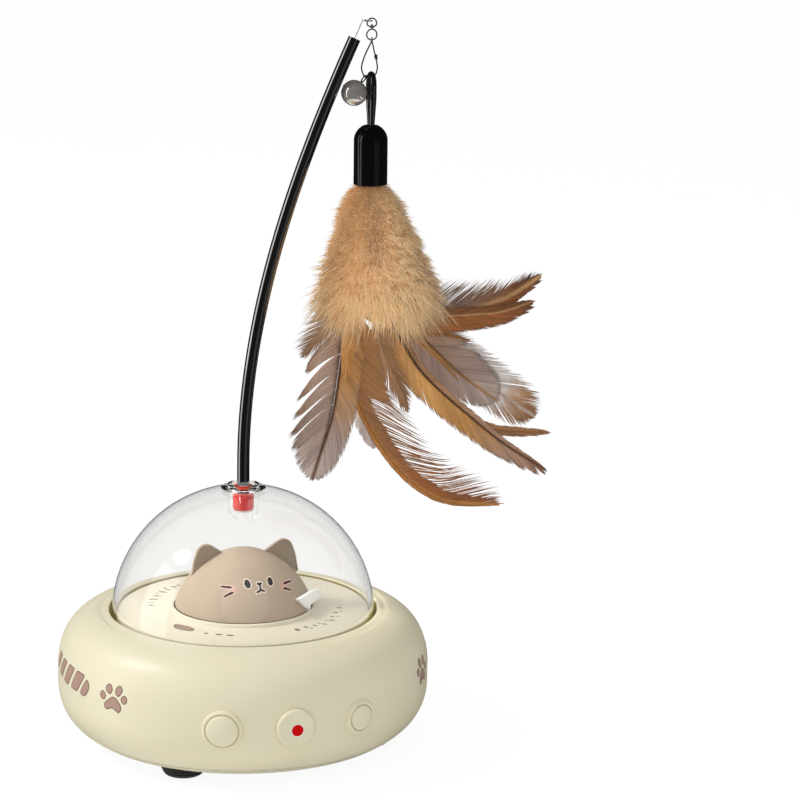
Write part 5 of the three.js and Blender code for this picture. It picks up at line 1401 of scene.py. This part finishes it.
# The fluff's outline as (share of its length down, share of its radius)
FLUFF_OUTLINE = [(0.0, 0.25), (0.015, 0.28), (0.09, 0.47), (0.22, 0.61), (0.37, 0.76), (0.52, 0.91),
                 (0.63, 1.02), (0.74, 1.08), (0.82, 0.92), (0.9, 0.55), (0.96, 0.1), (1, 0.05)]
TUFTS = 4300
STRANDS = 8
GOLDEN_SHARE = 0.618034


def fluff_radius(down):
    return np.interp(down, [d for d, _ in FLUFF_OUTLINE], [r for _, r in FLUFF_OUTLINE]) * FLUFF_RADIUS


def fluff_place(down, share, turn):
    """A place inside the fluff: share of its length down, share of its radius out, turn about its axis."""
    radius = share * float(fluff_radius(down))
    return Vector((radius * math.cos(turn) + FLUFF_LEAN * down,
                   radius * math.sin(turn) * FLUFF_DEPTH, CAP_BOTTOM - down * FLUFF_LENGTH))


def fan_to_toy(places):
    """Turns places in the fan's own plane, (right, away, up), to the toy's, in metres."""
    cos, sin = math.cos(FAN_TURN), math.sin(FAN_TURN)
    x = places[:, 0] * cos - places[:, 1] * sin + LURE_X
    y = places[:, 0] * sin + places[:, 1] * cos
    return np.stack([x, y, places[:, 2]], axis=1) * MM


def down_strand(root, tip, width, droop):
    """One soft strand from its root to its tip, which it reaches bent downwards."""
    middle = root.lerp(tip, 0.4) + Vector((0, 0, droop))
    late = root.lerp(tip, 0.75) + Vector((0, 0, droop * 0.8))
    return [(*root, 0), (*middle, width), (*late, width * 0.6), (*tip, 0)]


def down_shade(turn, down, rng):
    """A strand's shade: dark in the seam down the front, some grey at the sides, else tan."""
    front = abs(math.remainder(turn + math.pi / 2, TAU))
    if down < 0.5 and front < 0.26 - 0.2 * down and rng.random() < 0.7:
        return rng.uniform(0, 0.08)
    if abs(front - math.pi / 2) < 0.45 and rng.random() < 0.12 + 0.2 * down:
        return rng.uniform(0.92, 1)
    if rng.random() < 0.02 + 0.2 * max(0, down - 0.6):
        return rng.uniform(0.02, 0.09)
    bright = 0.5 + 0.35 * math.cos(turn + 0.6) * (1 - down) + 0.25 * down
    return min(0.88, max(0.12, bright + rng.uniform(-0.3, 0.3)))


# The wand's centre line in the fan's frame when the lure has swung right up to it
WAND_PASS = (Vector((-25.6, 6.4, 159.2)), Vector((-14.5, -6.2, 210.7)))
WAND_CLEARANCE = 4.2


def short_of_wand(root, tip):
    """The tip drawn back so that the strand stays off the wand when the lure swings to it."""
    near = intersect_line_line(root, tip, *WAND_PASS)
    if near is None:
        return tip
    reach = (tip - root).length
    gap = (near[0] - near[1]).length
    if gap >= WAND_CLEARANCE:
        return tip
    limit = (near[0] - root).dot(tip - root) / reach - math.sqrt(WAND_CLEARANCE ** 2 - gap ** 2)
    return tip if limit >= reach or limit < -4 else root.lerp(tip, max(0.08, limit / reach))


def make_fluff():
    """Down in small tufts all over a core: each tuft's strands lean together, out at the top, then down."""
    rng = random.Random(11)
    groups = ([], [], [], [])
    shades = ([], [], [], [])
    for i in range(TUFTS):
        turn = TAU * i * GOLDEN_SHARE + rng.uniform(-0.2, 0.2)
        hem = 0.82 + 0.04 * math.sin(5 * turn + 1) + 0.03 * math.sin(11 * turn)
        down = hem * ((i + rng.random()) / TUFTS) ** 0.72
        share = rng.uniform(0.6, 0.96)
        out = Vector((math.cos(turn), math.sin(turn) * FLUFF_DEPTH, 0))
        aside = Vector((-math.sin(turn), math.cos(turn), 0)) * rng.uniform(-0.55, 0.55)
        fall = 0.05 + 0.55 * down + 2.2 * max(0, down - 0.6)
        way = out * (1.1 - 0.4 * down) + aside + Vector((0, 0, rng.uniform(0.25, -0.35) - fall))
        way.normalize()
        length = (2.6 + 4.6 * down + 32 * max(0, down - 0.6)) * rng.uniform(0.6, 1.3)
        for _ in range(STRANDS):
            here = down + rng.uniform(-0.018, 0.018)
            about = turn + rng.uniform(-0.16, 0.16) / (0.4 + down)
            root = fluff_place(min(0.9, max(0.005, here)), share, about)
            spread = 0.4 + 0.15 * length
            tip = root + way * (length * rng.uniform(0.55, 1.15)) + Vector(
                (rng.gauss(0, 0.6), rng.gauss(0, 0.6), rng.gauss(0, 0.6))) * spread
            tip.z = min(tip.z, CAP_BOTTOM + 2.4)
            tip = short_of_wand(root, tip)
            groups[i % 4].append(down_strand(root, tip, rng.uniform(0.075, 0.125), 0.06 * length))
            shades[i % 4].append(down_shade(turn, down, rng))
    for k, (paths, tones) in enumerate(zip(groups, shades)):
        mesh = strand_mesh(paths, oval(3), tones)
        set_corners(mesh, fan_to_toy(corners(mesh)))
        close_ends(mesh)
        down = link(f"down_{k}", mesh, "fluff")
        down.visible_shadow = False
        dress(down, "lure", "fluff")
    make_fluff_core()


def make_fluff_core():
    """The solid heart of the fluff that the down hides, from a neck in the cap down to the feathers."""
    core = [(0, CAP_BOTTOM + 6), (4.9, CAP_BOTTOM + 6), (4.9, CAP_BOTTOM)]
    core += [(0.8 * float(fluff_radius(d)), CAP_BOTTOM - d * FLUFF_LENGTH)
             for d in np.linspace(0.04, 0.7, 12)]
    core += [(14, CAP_BOTTOM - 0.78 * FLUFF_LENGTH), (9, CAP_BOTTOM - 0.87 * FLUFF_LENGTH),
             (0, CAP_BOTTOM - 0.97 * FLUFF_LENGTH)]
    bm = turned(core, 48, closed=False)
    for vert in bm.verts:
        down = max(0, CAP_BOTTOM - vert.co.z) / FLUFF_LENGTH
        ripple = 1 + 0.05 * math.sin(9 * math.atan2(vert.co.y, vert.co.x) + 14 * down)
        vert.co.x = vert.co.x * ripple + FLUFF_LEAN * down
        vert.co.y *= ripple * FLUFF_DEPTH
    places = np.array([v.co[:] for v in bm.verts])
    for vert, place in zip(bm.verts, fan_to_toy(places) / MM):
        vert.co = place
    dress(settle("down_core", bm, "down_skin"), "lure", "fluff", "plume_fluff")


# Feathers
QUILL_OVERRUN = 30


class Quill:
    """A feather's centre line in the fan's plane, with its length, places and directions."""

    def __init__(self, points, layer, bow):
        route = np.array(smooth_route([(x, 0, z) for x, z in points], 16))[:, (0, 2)]
        steps = np.linalg.norm(np.diff(route, axis=0), axis=1)
        self.along = np.concatenate([[0], np.cumsum(steps)])
        self.length = self.along[-1]
        over = route[-1] + (route[-1] - route[-2]) / steps[-1] * QUILL_OVERRUN
        self.along = np.append(self.along, self.length + QUILL_OVERRUN)
        self.route = np.vstack([route, over])
        self.layer = layer
        self.bow = bow

    def at(self, s):
        """Places on the centre line, (right, up), at lengths along it."""
        return np.interp(s, self.along, self.route[:, 0]), np.interp(s, self.along, self.route[:, 1])

    def bend(self, flat, cup):
        """Flat places, (along, across, towards the viewer), bent along the quill."""
        s, across, near = flat[:, 0], flat[:, 1], flat[:, 2]
        x, z = self.at(s)
        after_x, after_z = self.at(s + 1)
        before_x, before_z = self.at(s - 1)
        ahead_x, ahead_z = after_x - before_x, after_z - before_z
        size = np.hypot(ahead_x, ahead_z)
        x = x - ahead_z / size * across
        z = z + ahead_x / size * across
        share = s / self.length
        depth = self.layer + self.bow * share * share - near + cup * across * across
        return fan_to_toy(np.stack([x, depth, z], axis=1))


def vane_width(share, root_share, tip_power, root_width=0.05):
    """Share of the full width at a share of the length: opens from the root and closes to a round tip."""
    opening = math.sqrt(min(1, max(0, share) / root_share))
    return max(root_width, opening * math.sqrt(max(0, 1 - min(1, share) ** tip_power)))


def barb_paths(quill, side, vane, rng):
    """The barbs on one side of a quill, drawn flat."""
    paths = []
    length = quill.length
    tufts = vane.get("tufts", [])
    count = vane["count"]
    start, stop = vane.get("start", 0.02), vane.get("stop", 0.985)
    for i in range(count):
        share = start + (stop - start) * (i + 0.5) / count
        root = share * length
        lean = math.radians(vane["lean"][0] + (vane["lean"][1] - vane["lean"][0]) * share ** 1.4)
        lean += rng.uniform(-0.03, 0.03)
        slope = math.tan(lean)
        reach = 0.0
        step = length / 150
        while reach < length * 0.6:
            reach += step
            limit = vane["width"] * vane_width((root + reach) / length, vane.get("opening", 0.22),
                                               vane["tip_power"])
            if reach * slope >= limit:
                break
        tall = reach * slope
        for low, high, pinch, gain in tufts:
            if low <= share < high:
                within = (share - low) / (high - low)
                reach += (0.5 - within) * (high - low) * length * pinch
                grow = gain * (1 - abs(2 * within - 1))
                reach *= 1 + grow
                tall *= 1 + grow * 0.6
        ragged = 1 + rng.uniform(-vane["ragged"], vane["ragged"] * 0.6)
        reach, tall = reach * ragged, tall * ragged
        curl = vane.get("curl", 0.0)
        lift = rng.uniform(-0.05, 0.05)
        path = []
        stations = 7
        for k in range(stations):
            t = k / (stations - 1)
            s = root + reach * t ** 1.25
            across = (tall * (t + curl * t * (1 - t)) - 0.3 * (1 - t)) * side
            width = vane["barb"] * (0 if k in (0, stations - 1) else 1 - vane.get("taper", 0.5) * t ** 2)
            path.append((s, across, lift - 0.1 * t, width))
        paths.append(path)
    return paths


def barb_side(quill, side, vane, rng, widest):
    paths = barb_paths(quill, side, vane, rng)
    streak = 0.5
    shades = []
    for _ in paths:
        streak += rng.uniform(-0.22, 0.22)
        streak = min(1, max(0, streak * 0.9 + 0.05))
        shades.append(streak)
    mesh = strand_mesh(paths, oval(4, 0.16), shades)
    flat = corners(mesh)
    uv = np.stack([flat[:, 0] / quill.length, 0.5 + 0.5 * flat[:, 1] / widest], axis=1)
    corner_verts = np.empty(len(mesh.loops), dtype=np.int64)
    mesh.loops.foreach_get("vertex_index", corner_verts)
    layer = mesh.uv_layers.new(name="vane")
    layer.data.foreach_set("uv", uv[corner_verts].ravel().astype(np.float32))
    set_corners(mesh, quill.bend(flat, vane.get("cup", 0.012)))
    return mesh


def quill_mesh(quill, thick, stop=0.97):
    """The quill itself: a round stem that tapers to its tip and stands proud of the vane."""
    stations = 28
    path = []
    for k in range(stations):
        t = k / (stations - 1)
        width = 0 if k in (0, stations - 1) else thick * (1 - 0.8 * t)
        path.append((quill.length * stop * t, 0, 0.1 + 0.12 * (1 - t), width))
    mesh = strand_mesh([path], oval(8))
    set_corners(mesh, quill.bend(corners(mesh), 0))
    return mesh


GOLD = (214, 150, 76)
MAUVE = (196, 170, 158)
PALE = (230, 214, 206)
TAN = (226, 178, 122)


def both_sides(**vane):
    return [{"side": side, **vane} for side in (1, -1)]


# points is the quill's way in the fan's plane, (right, up). layer is its depth behind the fan's plane and
# bow how far its tip leans back from there. quill gives the quill's radius and colour, and upper and lower
# the colours on its two sides, each as (share of the length, colour). A vane's lean is the barbs' angle to
# the quill in degrees at its root and tip, and its tufts pinch the barbs of a stretch together.
FEATHERS = [
    {"node": "feather_centre", "points": [(-8.2, 168), (-8.4, 158), (-10, 141)], "layer": -10, "bow": -4,
     "quill": (0.35, (222, 170, 104)), "edge": TAN, "quill_shade": (230, 184, 120),
     "upper": [(0, TAN), (0.6, GOLD), (1, (200, 136, 68))],
     "lower": [(0, TAN), (0.6, GOLD), (1, (200, 136, 68))],
     "vanes": both_sides(width=3.6, count=70, lean=(40, 16), tip_power=2, ragged=0.12, barb=0.3)},
    {"node": "feather_left", "points": [(-9.5, 165), (-11.6, 148), (-15.2, 126), (-23, 102.5)],
     "layer": -6.5, "bow": -10, "quill": (0.32, (112, 70, 40)), "edge": (150, 108, 76),
     "quill_shade": (124, 88, 62), "edge_start": 0.6,
     "upper": [(0, (196, 138, 84)), (0.35, (206, 146, 84)), (0.55, (200, 156, 116)), (0.72, MAUVE),
               (1, (206, 188, 178))],
     "lower": [(0, (150, 112, 84)), (0.3, (188, 156, 136)), (0.7, (182, 152, 136)), (1, (210, 190, 178))],
     "vanes": [
         {"side": 1, "width": 9.6, "count": 230, "lean": (46, 14), "tip_power": 9, "ragged": 0.03,
          "barb": 0.34, "tufts": [(0.86, 0.93, 0.3, 0.03)]},
         {"side": -1, "width": 12.8, "count": 230, "lean": (44, 16), "tip_power": 9, "ragged": 0.03,
          "barb": 0.34, "curl": 0.25,
          "tufts": [(0.02, 0.2, 0.7, 0.1), (0.2, 0.31, 0.75, 0.3), (0.31, 0.42, 0.75, 0.32),
                    (0.42, 0.52, 0.7, 0.26), (0.52, 0.64, 0.5, 0.08), (0.88, 0.95, 0.3, 0.04)]}]},
    {"node": "feather_lowest", "points": [(-4, 168), (-4.8, 136), (0.2, 121.3), (9.3, 106.9), (20, 96.2),
                                          (33, 90), (53.4, 89.3)],
     "layer": -3, "bow": -5, "quill": (0.34, (176, 112, 52)), "edge": (146, 98, 66),
     "quill_shade": (206, 142, 72),
     "upper": [(0, (206, 150, 96)), (0.22, (196, 138, 84)), (0.45, (176, 122, 78)), (0.7, (172, 104, 50)),
               (1, (140, 84, 44))],
     "lower": [(0, (214, 152, 80)), (0.5, (196, 124, 54)), (1, (160, 94, 42))],
     "vanes": [
         {"side": 1, "width": 15.5, "count": 150, "lean": (36, 11), "tip_power": 9, "ragged": 0.2,
          "barb": 0.17, "curl": 0.35, "opening": 0.3, "taper": 0.5, "start": 0.2},
         {"side": 1, "width": 13, "count": 130, "lean": (42, 30), "tip_power": 6, "ragged": 0.1,
          "barb": 0.3, "curl": 0.2, "opening": 0.3, "stop": 0.27},
         {"side": 1, "width": 5, "count": 260, "lean": (34, 10), "tip_power": 6, "ragged": 0.22,
          "barb": 0.4, "opening": 0.1, "stop": 0.9},
         {"side": -1, "width": 1.6, "count": 160, "lean": (14, 6), "tip_power": 4, "ragged": 0.05,
          "barb": 0.34, "opening": 0.1}]},
    {"node": "feather_long", "points": [(6, 168), (12, 158), (20.3, 144.2), (29.3, 134.7), (40.4, 125),
                                        (55, 113), (73, 101.3)],
     "layer": 0.5, "bow": 1, "quill": (0.34, (96, 62, 38)), "edge": (190, 142, 94),
     "quill_shade": (112, 74, 46),
     "upper": [(0, (184, 134, 92)), (0.4, (196, 146, 104)), (0.75, (196, 154, 126)), (1, (160, 114, 80))],
     "lower": [(0, (206, 150, 88)), (0.3, (226, 168, 100)), (0.6, (214, 152, 82)), (0.82, (196, 156, 130)),
               (1, (166, 118, 84))],
     "vanes": [
         {"side": 1, "width": 2.6, "count": 200, "lean": (24, 9), "tip_power": 4, "ragged": 0.08,
          "barb": 0.3},
         {"side": -1, "width": 9, "count": 260, "lean": (34, 10), "tip_power": 3, "ragged": 0.05,
          "barb": 0.36, "tufts": [(0.72, 0.8, 0.4, 0.12), (0.8, 0.9, 0.5, 0.2), (0.9, 0.98, 0.5, 0.2)]}]},
    {"node": "feather_right", "points": [(12, 163), (22, 164.5), (33.7, 166.8), (45, 169), (56.1, 172.6),
                                         (69.6, 181)],
     "layer": 4, "bow": 3, "quill": (0.26, (226, 190, 146)), "edge": (140, 96, 66),
     "quill_shade": (206, 156, 104),
     "upper": [(0, (170, 144, 128)), (0.35, (158, 130, 114)), (0.6, (150, 110, 82)), (0.8, (150, 92, 50)),
               (1, (104, 66, 40))],
     "lower": [(0, (190, 122, 60)), (0.4, (176, 106, 46)), (0.8, (164, 96, 42)), (1, (104, 64, 36))],
     "vanes": [
         {"side": 1, "width": 13.5, "count": 230, "lean": (34, 14), "tip_power": 1.1, "ragged": 0.3,
          "barb": 0.15, "opening": 0.08},
         {"side": 1, "width": 4, "count": 160, "lean": (26, 12), "tip_power": 4, "ragged": 0.1, "barb": 0.3,
          "start": 0.35},
         {"side": -1, "width": 4.6, "count": 230, "lean": (24, 10), "tip_power": 4, "ragged": 0.03,
          "barb": 0.36, "tufts": [(0.7, 0.8, 0.4, 0.14), (0.8, 0.9, 0.4, 0.2)]}]},
    {"name": "right_low", "points": [(12, 160), (22, 163), (31.5, 165), (43, 165.8), (53.9, 166.8),
                                     (66.4, 171)],
     "layer": 3, "bow": 2, "quill": (0.26, (226, 190, 146)), "edge": (120, 72, 40),
     "quill_shade": (196, 138, 84),
     "upper": [(0, (170, 112, 62)), (1, (130, 78, 40))],
     "lower": [(0, (190, 130, 70)), (0.4, (176, 106, 46)), (0.8, (160, 94, 42)), (1, (110, 68, 38))],
     "vanes": [
         {"side": 1, "width": 3.4, "count": 170, "lean": (22, 10), "tip_power": 4, "ragged": 0.06,
          "barb": 0.32},
         {"side": -1, "width": 7.6, "count": 230, "lean": (24, 11), "tip_power": 3, "ragged": 0.03,
          "barb": 0.36, "tufts": [(0.66, 0.76, 0.4, 0.14), (0.76, 0.86, 0.4, 0.2)]}]},
    {"node": "feather_broad", "points": [(14, 163), (22.8, 154), (36.7, 140.6), (53.2, 127.8)],
     "layer": 7, "bow": 7, "quill": (0.3, (206, 150, 76)), "edge": (172, 130, 98), "edge_start": 0.82,
     "quill_shade": (190, 148, 104),
     "upper": [(0, (206, 150, 90)), (0.35, (184, 150, 128)), (0.7, (188, 160, 148)), (1, (204, 182, 170))],
     "lower": [(0, (196, 168, 150)), (0.5, (192, 166, 156)), (1, (206, 186, 176))],
     "vanes": [
         {"side": 1, "width": 11, "count": 230, "lean": (44, 14), "tip_power": 9, "ragged": 0.03,
          "barb": 0.36, "tufts": [(0.12, 0.3, 0.6, 0.16), (0.3, 0.42, 0.6, 0.1)]},
         {"side": -1, "width": 9.4, "count": 230, "lean": (44, 14), "tip_power": 9, "ragged": 0.03,
          "barb": 0.36}]},
    {"node": "feather_pale", "points": [(16, 163), (31, 149.6), (50, 134), (69.8, 119.4)],
     "layer": 11, "bow": 9, "quill": (0.26, (222, 200, 184)), "edge": (190, 140, 98),
     "quill_shade": (224, 204, 190), "edge_start": 0.84,
     "upper": [(0, (238, 224, 216)), (0.72, (240, 228, 222)), (0.84, (206, 160, 122)), (1, (160, 104, 62))],
     "lower": [(0, (238, 224, 216)), (0.76, (240, 228, 222)), (0.87, (200, 154, 116)), (1, (158, 102, 60))],
     "vanes": [
         {"side": 1, "width": 10.5, "count": 200, "lean": (38, 16), "tip_power": 14, "ragged": 0.16,
          "barb": 0.26},
         {"side": -1, "width": 9.5, "count": 200, "lean": (38, 16), "tip_power": 14, "ragged": 0.14,
          "barb": 0.26}]},
    {"node": "feather_small", "points": [(-4, 165), (-4.6, 140), (-1.6, 121), (3.4, 107.4)],
     "layer": 8, "bow": 6, "quill": (0.24, (216, 196, 184)), "edge": PALE, "quill_shade": (226, 210, 200),
     "upper": [(0, (232, 216, 208)), (1, (238, 226, 220))],
     "lower": [(0, (232, 216, 208)), (1, (234, 220, 214))],
     "vanes": both_sides(width=4.4, count=130, lean=(40, 12), tip_power=6, ragged=0.06, barb=0.32)},
    {"name": "sliver", "points": [(16, 160), (24, 157.4), (33, 156.6), (41.5, 154)], "layer": 5, "bow": 3,
     "quill": (0.22, (190, 128, 60)), "edge": (176, 118, 54), "quill_shade": (196, 134, 66),
     "upper": [(0, (206, 144, 76)), (1, (176, 118, 56))],
     "lower": [(0, (200, 138, 70)), (1, (170, 112, 52))],
     "vanes": both_sides(width=0.9, count=60, lean=(12, 6), tip_power=3, ragged=0.1, barb=0.24)},
    {"name": "spear", "points": [(14, 160), (20, 155), (28, 148), (37, 138)], "layer": 3, "bow": 2,
     "quill": (0.3, (190, 132, 66)), "edge": (184, 128, 66), "quill_shade": (184, 126, 64),
     "upper": [(0, (214, 158, 96)), (1, (186, 132, 80))],
     "lower": [(0, (214, 158, 96)), (1, (186, 132, 80))],
     "vanes": both_sides(width=1.1, count=70, lean=(12, 5), tip_power=2, ragged=0.1, barb=0.24)},
    {"name": "wisps", "points": [(-6, 174), (-12, 167), (-19, 159), (-27, 150.5)], "layer": -4, "bow": -3,
     "quill": (0.2, (150, 114, 86)), "edge": (126, 94, 72), "quill_shade": (176, 132, 96),
     "upper": [(0, (206, 160, 116)), (1, (140, 106, 84))],
     "lower": [(0, (206, 160, 116)), (1, (134, 100, 78))],
     "vanes": [
         {"side": 1, "width": 5, "count": 110, "lean": (28, 12), "tip_power": 3, "ragged": 0.4,
          "barb": 0.12},
         {"side": -1, "width": 9, "count": 170, "lean": (30, 14), "tip_power": 3, "ragged": 0.4,
          "barb": 0.12}]},
    {"name": "tuft", "points": [(2, 166), (6, 150), (11, 140), (16, 127)], "layer": -1, "bow": -2,
     "quill": (0.2, (196, 150, 108)), "edge": (150, 106, 72), "quill_shade": (196, 148, 100),
     "upper": [(0, (216, 164, 112)), (1, (160, 112, 78))],
     "lower": [(0, (216, 164, 112)), (1, (166, 120, 88))],
     "vanes": both_sides(width=5.5, count=90, lean=(26, 12), tip_power=3, ragged=0.35, barb=0.2)},
    {"name": "fork", "points": [(40, 124), (50, 119), (61, 117.5), (74, 117)], "layer": 1.5, "bow": 1,
     "quill": (0.24, (150, 98, 54)), "edge": (170, 116, 72), "quill_shade": (176, 120, 72),
     "upper": [(0, (196, 146, 92)), (1, (172, 116, 72))],
     "lower": [(0, (196, 146, 92)), (1, (166, 110, 66))],
     "vanes": [
         {"side": 1, "width": 2, "count": 90, "lean": (16, 6), "tip_power": 5, "ragged": 0.2, "barb": 0.24},
         {"side": -1, "width": 2.4, "count": 90, "lean": (16, 6), "tip_power": 5, "ragged": 0.2,
          "barb": 0.24}]},
]


def make_feather(feather, rng):
    node = feather.get("node")
    name = node.replace("feather_", "") if node else feather["name"]
    quill = Quill(feather["points"], feather["layer"], feather["bow"])
    make_feather_finish(f"vane_{name}", feather["upper"], feather["lower"], feather["edge"],
                        feather["quill_shade"], feather.get("edge_start", 0.75))
    widest = max(vane["width"] for vane in feather["vanes"]) * 1.1
    whole = bmesh.new()
    for vane in feather["vanes"]:
        mesh = barb_side(quill, vane["side"], vane, rng, widest)
        whole.from_mesh(mesh)
        bpy.data.meshes.remove(mesh)
    mesh = bpy.data.meshes.new(f"vane_{name}")
    whole.to_mesh(mesh)
    whole.free()
    close_ends(mesh)
    vane_object = link(f"vane_{name}", mesh, f"vane_{name}")
    vane_object.visible_shadow = False
    dress(vane_object, "lure", "feather", *([node] if node else []))
    thick, colour = feather["quill"]
    shade = tuple(int(c * 0.86) for c in colour)
    moulded(f"quill_{name}", colour, shade, 0.65, grain=0.1, tone_scale=300, Specular_IOR_Level=0.3)
    mesh = quill_mesh(quill, thick)
    close_ends(mesh)
    dress(link(f"quill_{name}", mesh, f"quill_{name}"), "lure", "feather")


def make_feathers():
    rng = random.Random(23)
    for feather in FEATHERS:
        make_feather(feather, rng)


# Inner parts that keep their solids
CAD_FINISHES = {
    "battery_cell": "cell_wrap", "main_board": "circuit_board", "usb_socket": "steel",
    "tact_switch_left": "switch_black", "tact_switch_middle": "switch_black",
    "tact_switch_right": "switch_black", "switch_board_left": "circuit_board",
    "switch_board_middle": "circuit_board", "switch_board_right": "circuit_board",
    "drive_gear": "nylon", "drive_pinion": "nylon", "output_shaft": "steel", "gearbox": "nylon",
    "motor_can": "steel", "glide_ring": "nylon", "retaining_washer": "steel", "spindle_screw": "steel",
}


def finish_inner_parts():
    for node, material in CAD_FINISHES.items():
        mesh_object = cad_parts[node]
        if not mesh_object.material_slots:
            mesh_object.data.materials.append(FINISHES[material])
        for material_slot in mesh_object.material_slots:
            material_slot.material = FINISHES[material]


# Stage and light
FLOOR_HEIGHT = -5.5
FLOOR_HALF = 3.0
FLOOR_GAP = 0.0001
LAMP_AIM = Vector((0, 0, 0.06))
# Brightness of the surround for the light on the object, and for the camera, gloss and glass
SURROUND_LIGHT = 0.52
SURROUND_WHITE = 1.0


def make_floor():
    """A floor that glows almost white for the camera and glass, and keeps the object's faint shadow."""
    bm = bmesh.new()
    bmesh.ops.create_grid(bm, x_segments=1, y_segments=1, size=FLOOR_HALF)
    bmesh.ops.translate(bm, vec=(0, 0, FLOOR_HEIGHT * MM - FLOOR_GAP), verts=bm.verts)
    mesh = bpy.data.meshes.new("floor")
    bm.to_mesh(mesh)
    bm.free()
    made = finish("floor", Base_Color=(0.9, 0.9, 0.89, 1), Roughness=0.9)
    camera_ray, glass_ray = (made.node("ShaderNodeLightPath", {}, {}, f"Is {ray} Ray")
                             for ray in ("Camera", "Transmission"))
    seen = camera_ray.or_more(glass_ray * 0.76)
    glow = made.node("ShaderNodeEmission", {}, {"Color": (1, 1, 1, 1), "Strength": 1.08})
    mixed = made.node("ShaderNodeMixShader", {}, {
        0: seen * 0.85, 1: Value(made, made.shader.outputs[0]), 2: glow})
    made.tree.links.new(mixed.socket, made.output.inputs["Surface"])
    floor = link("floor", mesh, "floor")
    floor.visible_glossy = False


def make_world():
    """A white surround for the camera, gloss and glass, and a softer one for the light on the object."""
    world = bpy.data.worlds.new("studio")
    bpy.context.scene.world = world
    world.use_nodes = True
    nodes, links = world.node_tree.nodes, world.node_tree.links
    background = nodes["Background"]
    background.inputs["Color"].default_value = (1, 1, 1, 1)
    path = nodes.new("ShaderNodeLightPath")
    total = path.outputs["Is Camera Ray"]
    for name in ("Is Glossy Ray", "Is Transmission Ray"):
        add = nodes.new("ShaderNodeMath")
        add.operation = "MAXIMUM"
        links.new(total, add.inputs[0])
        links.new(path.outputs[name], add.inputs[1])
        total = add.outputs[0]
    strength = nodes.new("ShaderNodeMapRange")
    strength.inputs["To Min"].default_value = SURROUND_LIGHT
    strength.inputs["To Max"].default_value = SURROUND_WHITE
    links.new(total, strength.inputs["Value"])
    links.new(strength.outputs["Result"], background.inputs["Strength"])


def make_lamp(name, place, size, power, glossy=True):
    data = bpy.data.lights.new(name, "AREA")
    data.shape = "DISK"
    data.size = size
    data.energy = power
    lamp = bpy.data.objects.new(name, data)
    bpy.context.collection.objects.link(lamp)
    lamp.location = place
    lamp.rotation_euler = (LAMP_AIM - Vector(place)).to_track_quat("-Z", "Y").to_euler()
    lamp.visible_glossy = glossy


TENT_RADIUS = 2.6
# Strips as (turn from the camera's side in degrees, half width, bottom and top as shares of the tent's
# radius, brightness): two on the left, a dim one on the right, a low ring, a bright patch high on the left
TENT_STRIPS = [(-84, 17, -0.5, 0.1, 0.09), (-84, 17, 0.0, 0.6, 0.13), (42, 20, -0.6, 0.1, 0.007),
               (0, 190, -1.2, -0.66, 0.05), (-91, 8, 0.62, 0.75, 1.0)]
STRIP_EDGE = 14
STRIP_POWER = 18


def make_tent():
    """The studio that only gloss mirrors: dark walls with brighter strips."""
    bm = ball(TENT_RADIUS / MM, 64)
    tent = settle("tent", bm, "tent")
    for ray in ("camera", "diffuse", "transmission", "volume_scatter", "shadow"):
        setattr(tent, f"visible_{ray}", False)


def make_tent_finish():
    made = finish("tent")
    parts = made.tree.nodes.new("ShaderNodeSeparateXYZ")
    made.tree.links.new(made.place().socket, parts.inputs[0])
    x, y, z = (Value(made, parts.outputs[axis]) * (1 / TENT_RADIUS) for axis in "XYZ")
    right = x * math.cos(VIEW_AZIMUTH) + y * math.sin(VIEW_AZIMUTH)
    near = x * math.sin(VIEW_AZIMUTH) - y * math.cos(VIEW_AZIMUTH)
    turn = made.node("ShaderNodeMath", {"operation": "ARCTAN2"}, {0: right, 1: near})
    strips = None
    for centre, half, bottom, top, glow in TENT_STRIPS:
        off = (turn - math.radians(centre)).absolute()
        side = made.clamp((math.radians(half) - off) * STRIP_EDGE)
        tall = made.clamp((z - bottom) * STRIP_EDGE) * made.clamp((top - z) * STRIP_EDGE)
        strip = side * tall * glow
        strips = strip if strips is None else strips + strip
    dark = made.node("ShaderNodeEmission", {}, {"Color": (0.025, 0.025, 0.026, 1)})
    bright = made.node("ShaderNodeEmission", {}, {"Color": (1, 1, 1, 1), "Strength": STRIP_POWER})
    mixed = made.node("ShaderNodeMixShader", {}, {0: made.clamp(strips), 1: dark, 2: bright})
    made.tree.links.new(mixed.socket, made.output.inputs["Surface"])


def make_stage():
    make_floor()
    make_world()
    make_tent_finish()
    make_tent()
    make_lamp("key", (-1.23, 0.29, 1.33), 0.36, 14.0)
    make_lamp("fill", (-0.4, -1.6, 0.9), 1.4, 4.5, glossy=False)


bpy.context.scene.view_settings.view_transform = "Standard"
make_plain_finishes()
make_board_finish()
make_clear_finish()
make_fluff_finish()
make_base()
make_base_prints()
for button in BUTTONS:
    make_button(button)
make_turntable()
make_wand()
make_swivel()
make_bell()
make_lure_head()
make_fluff()
make_feathers()
finish_inner_parts()
make_stage()
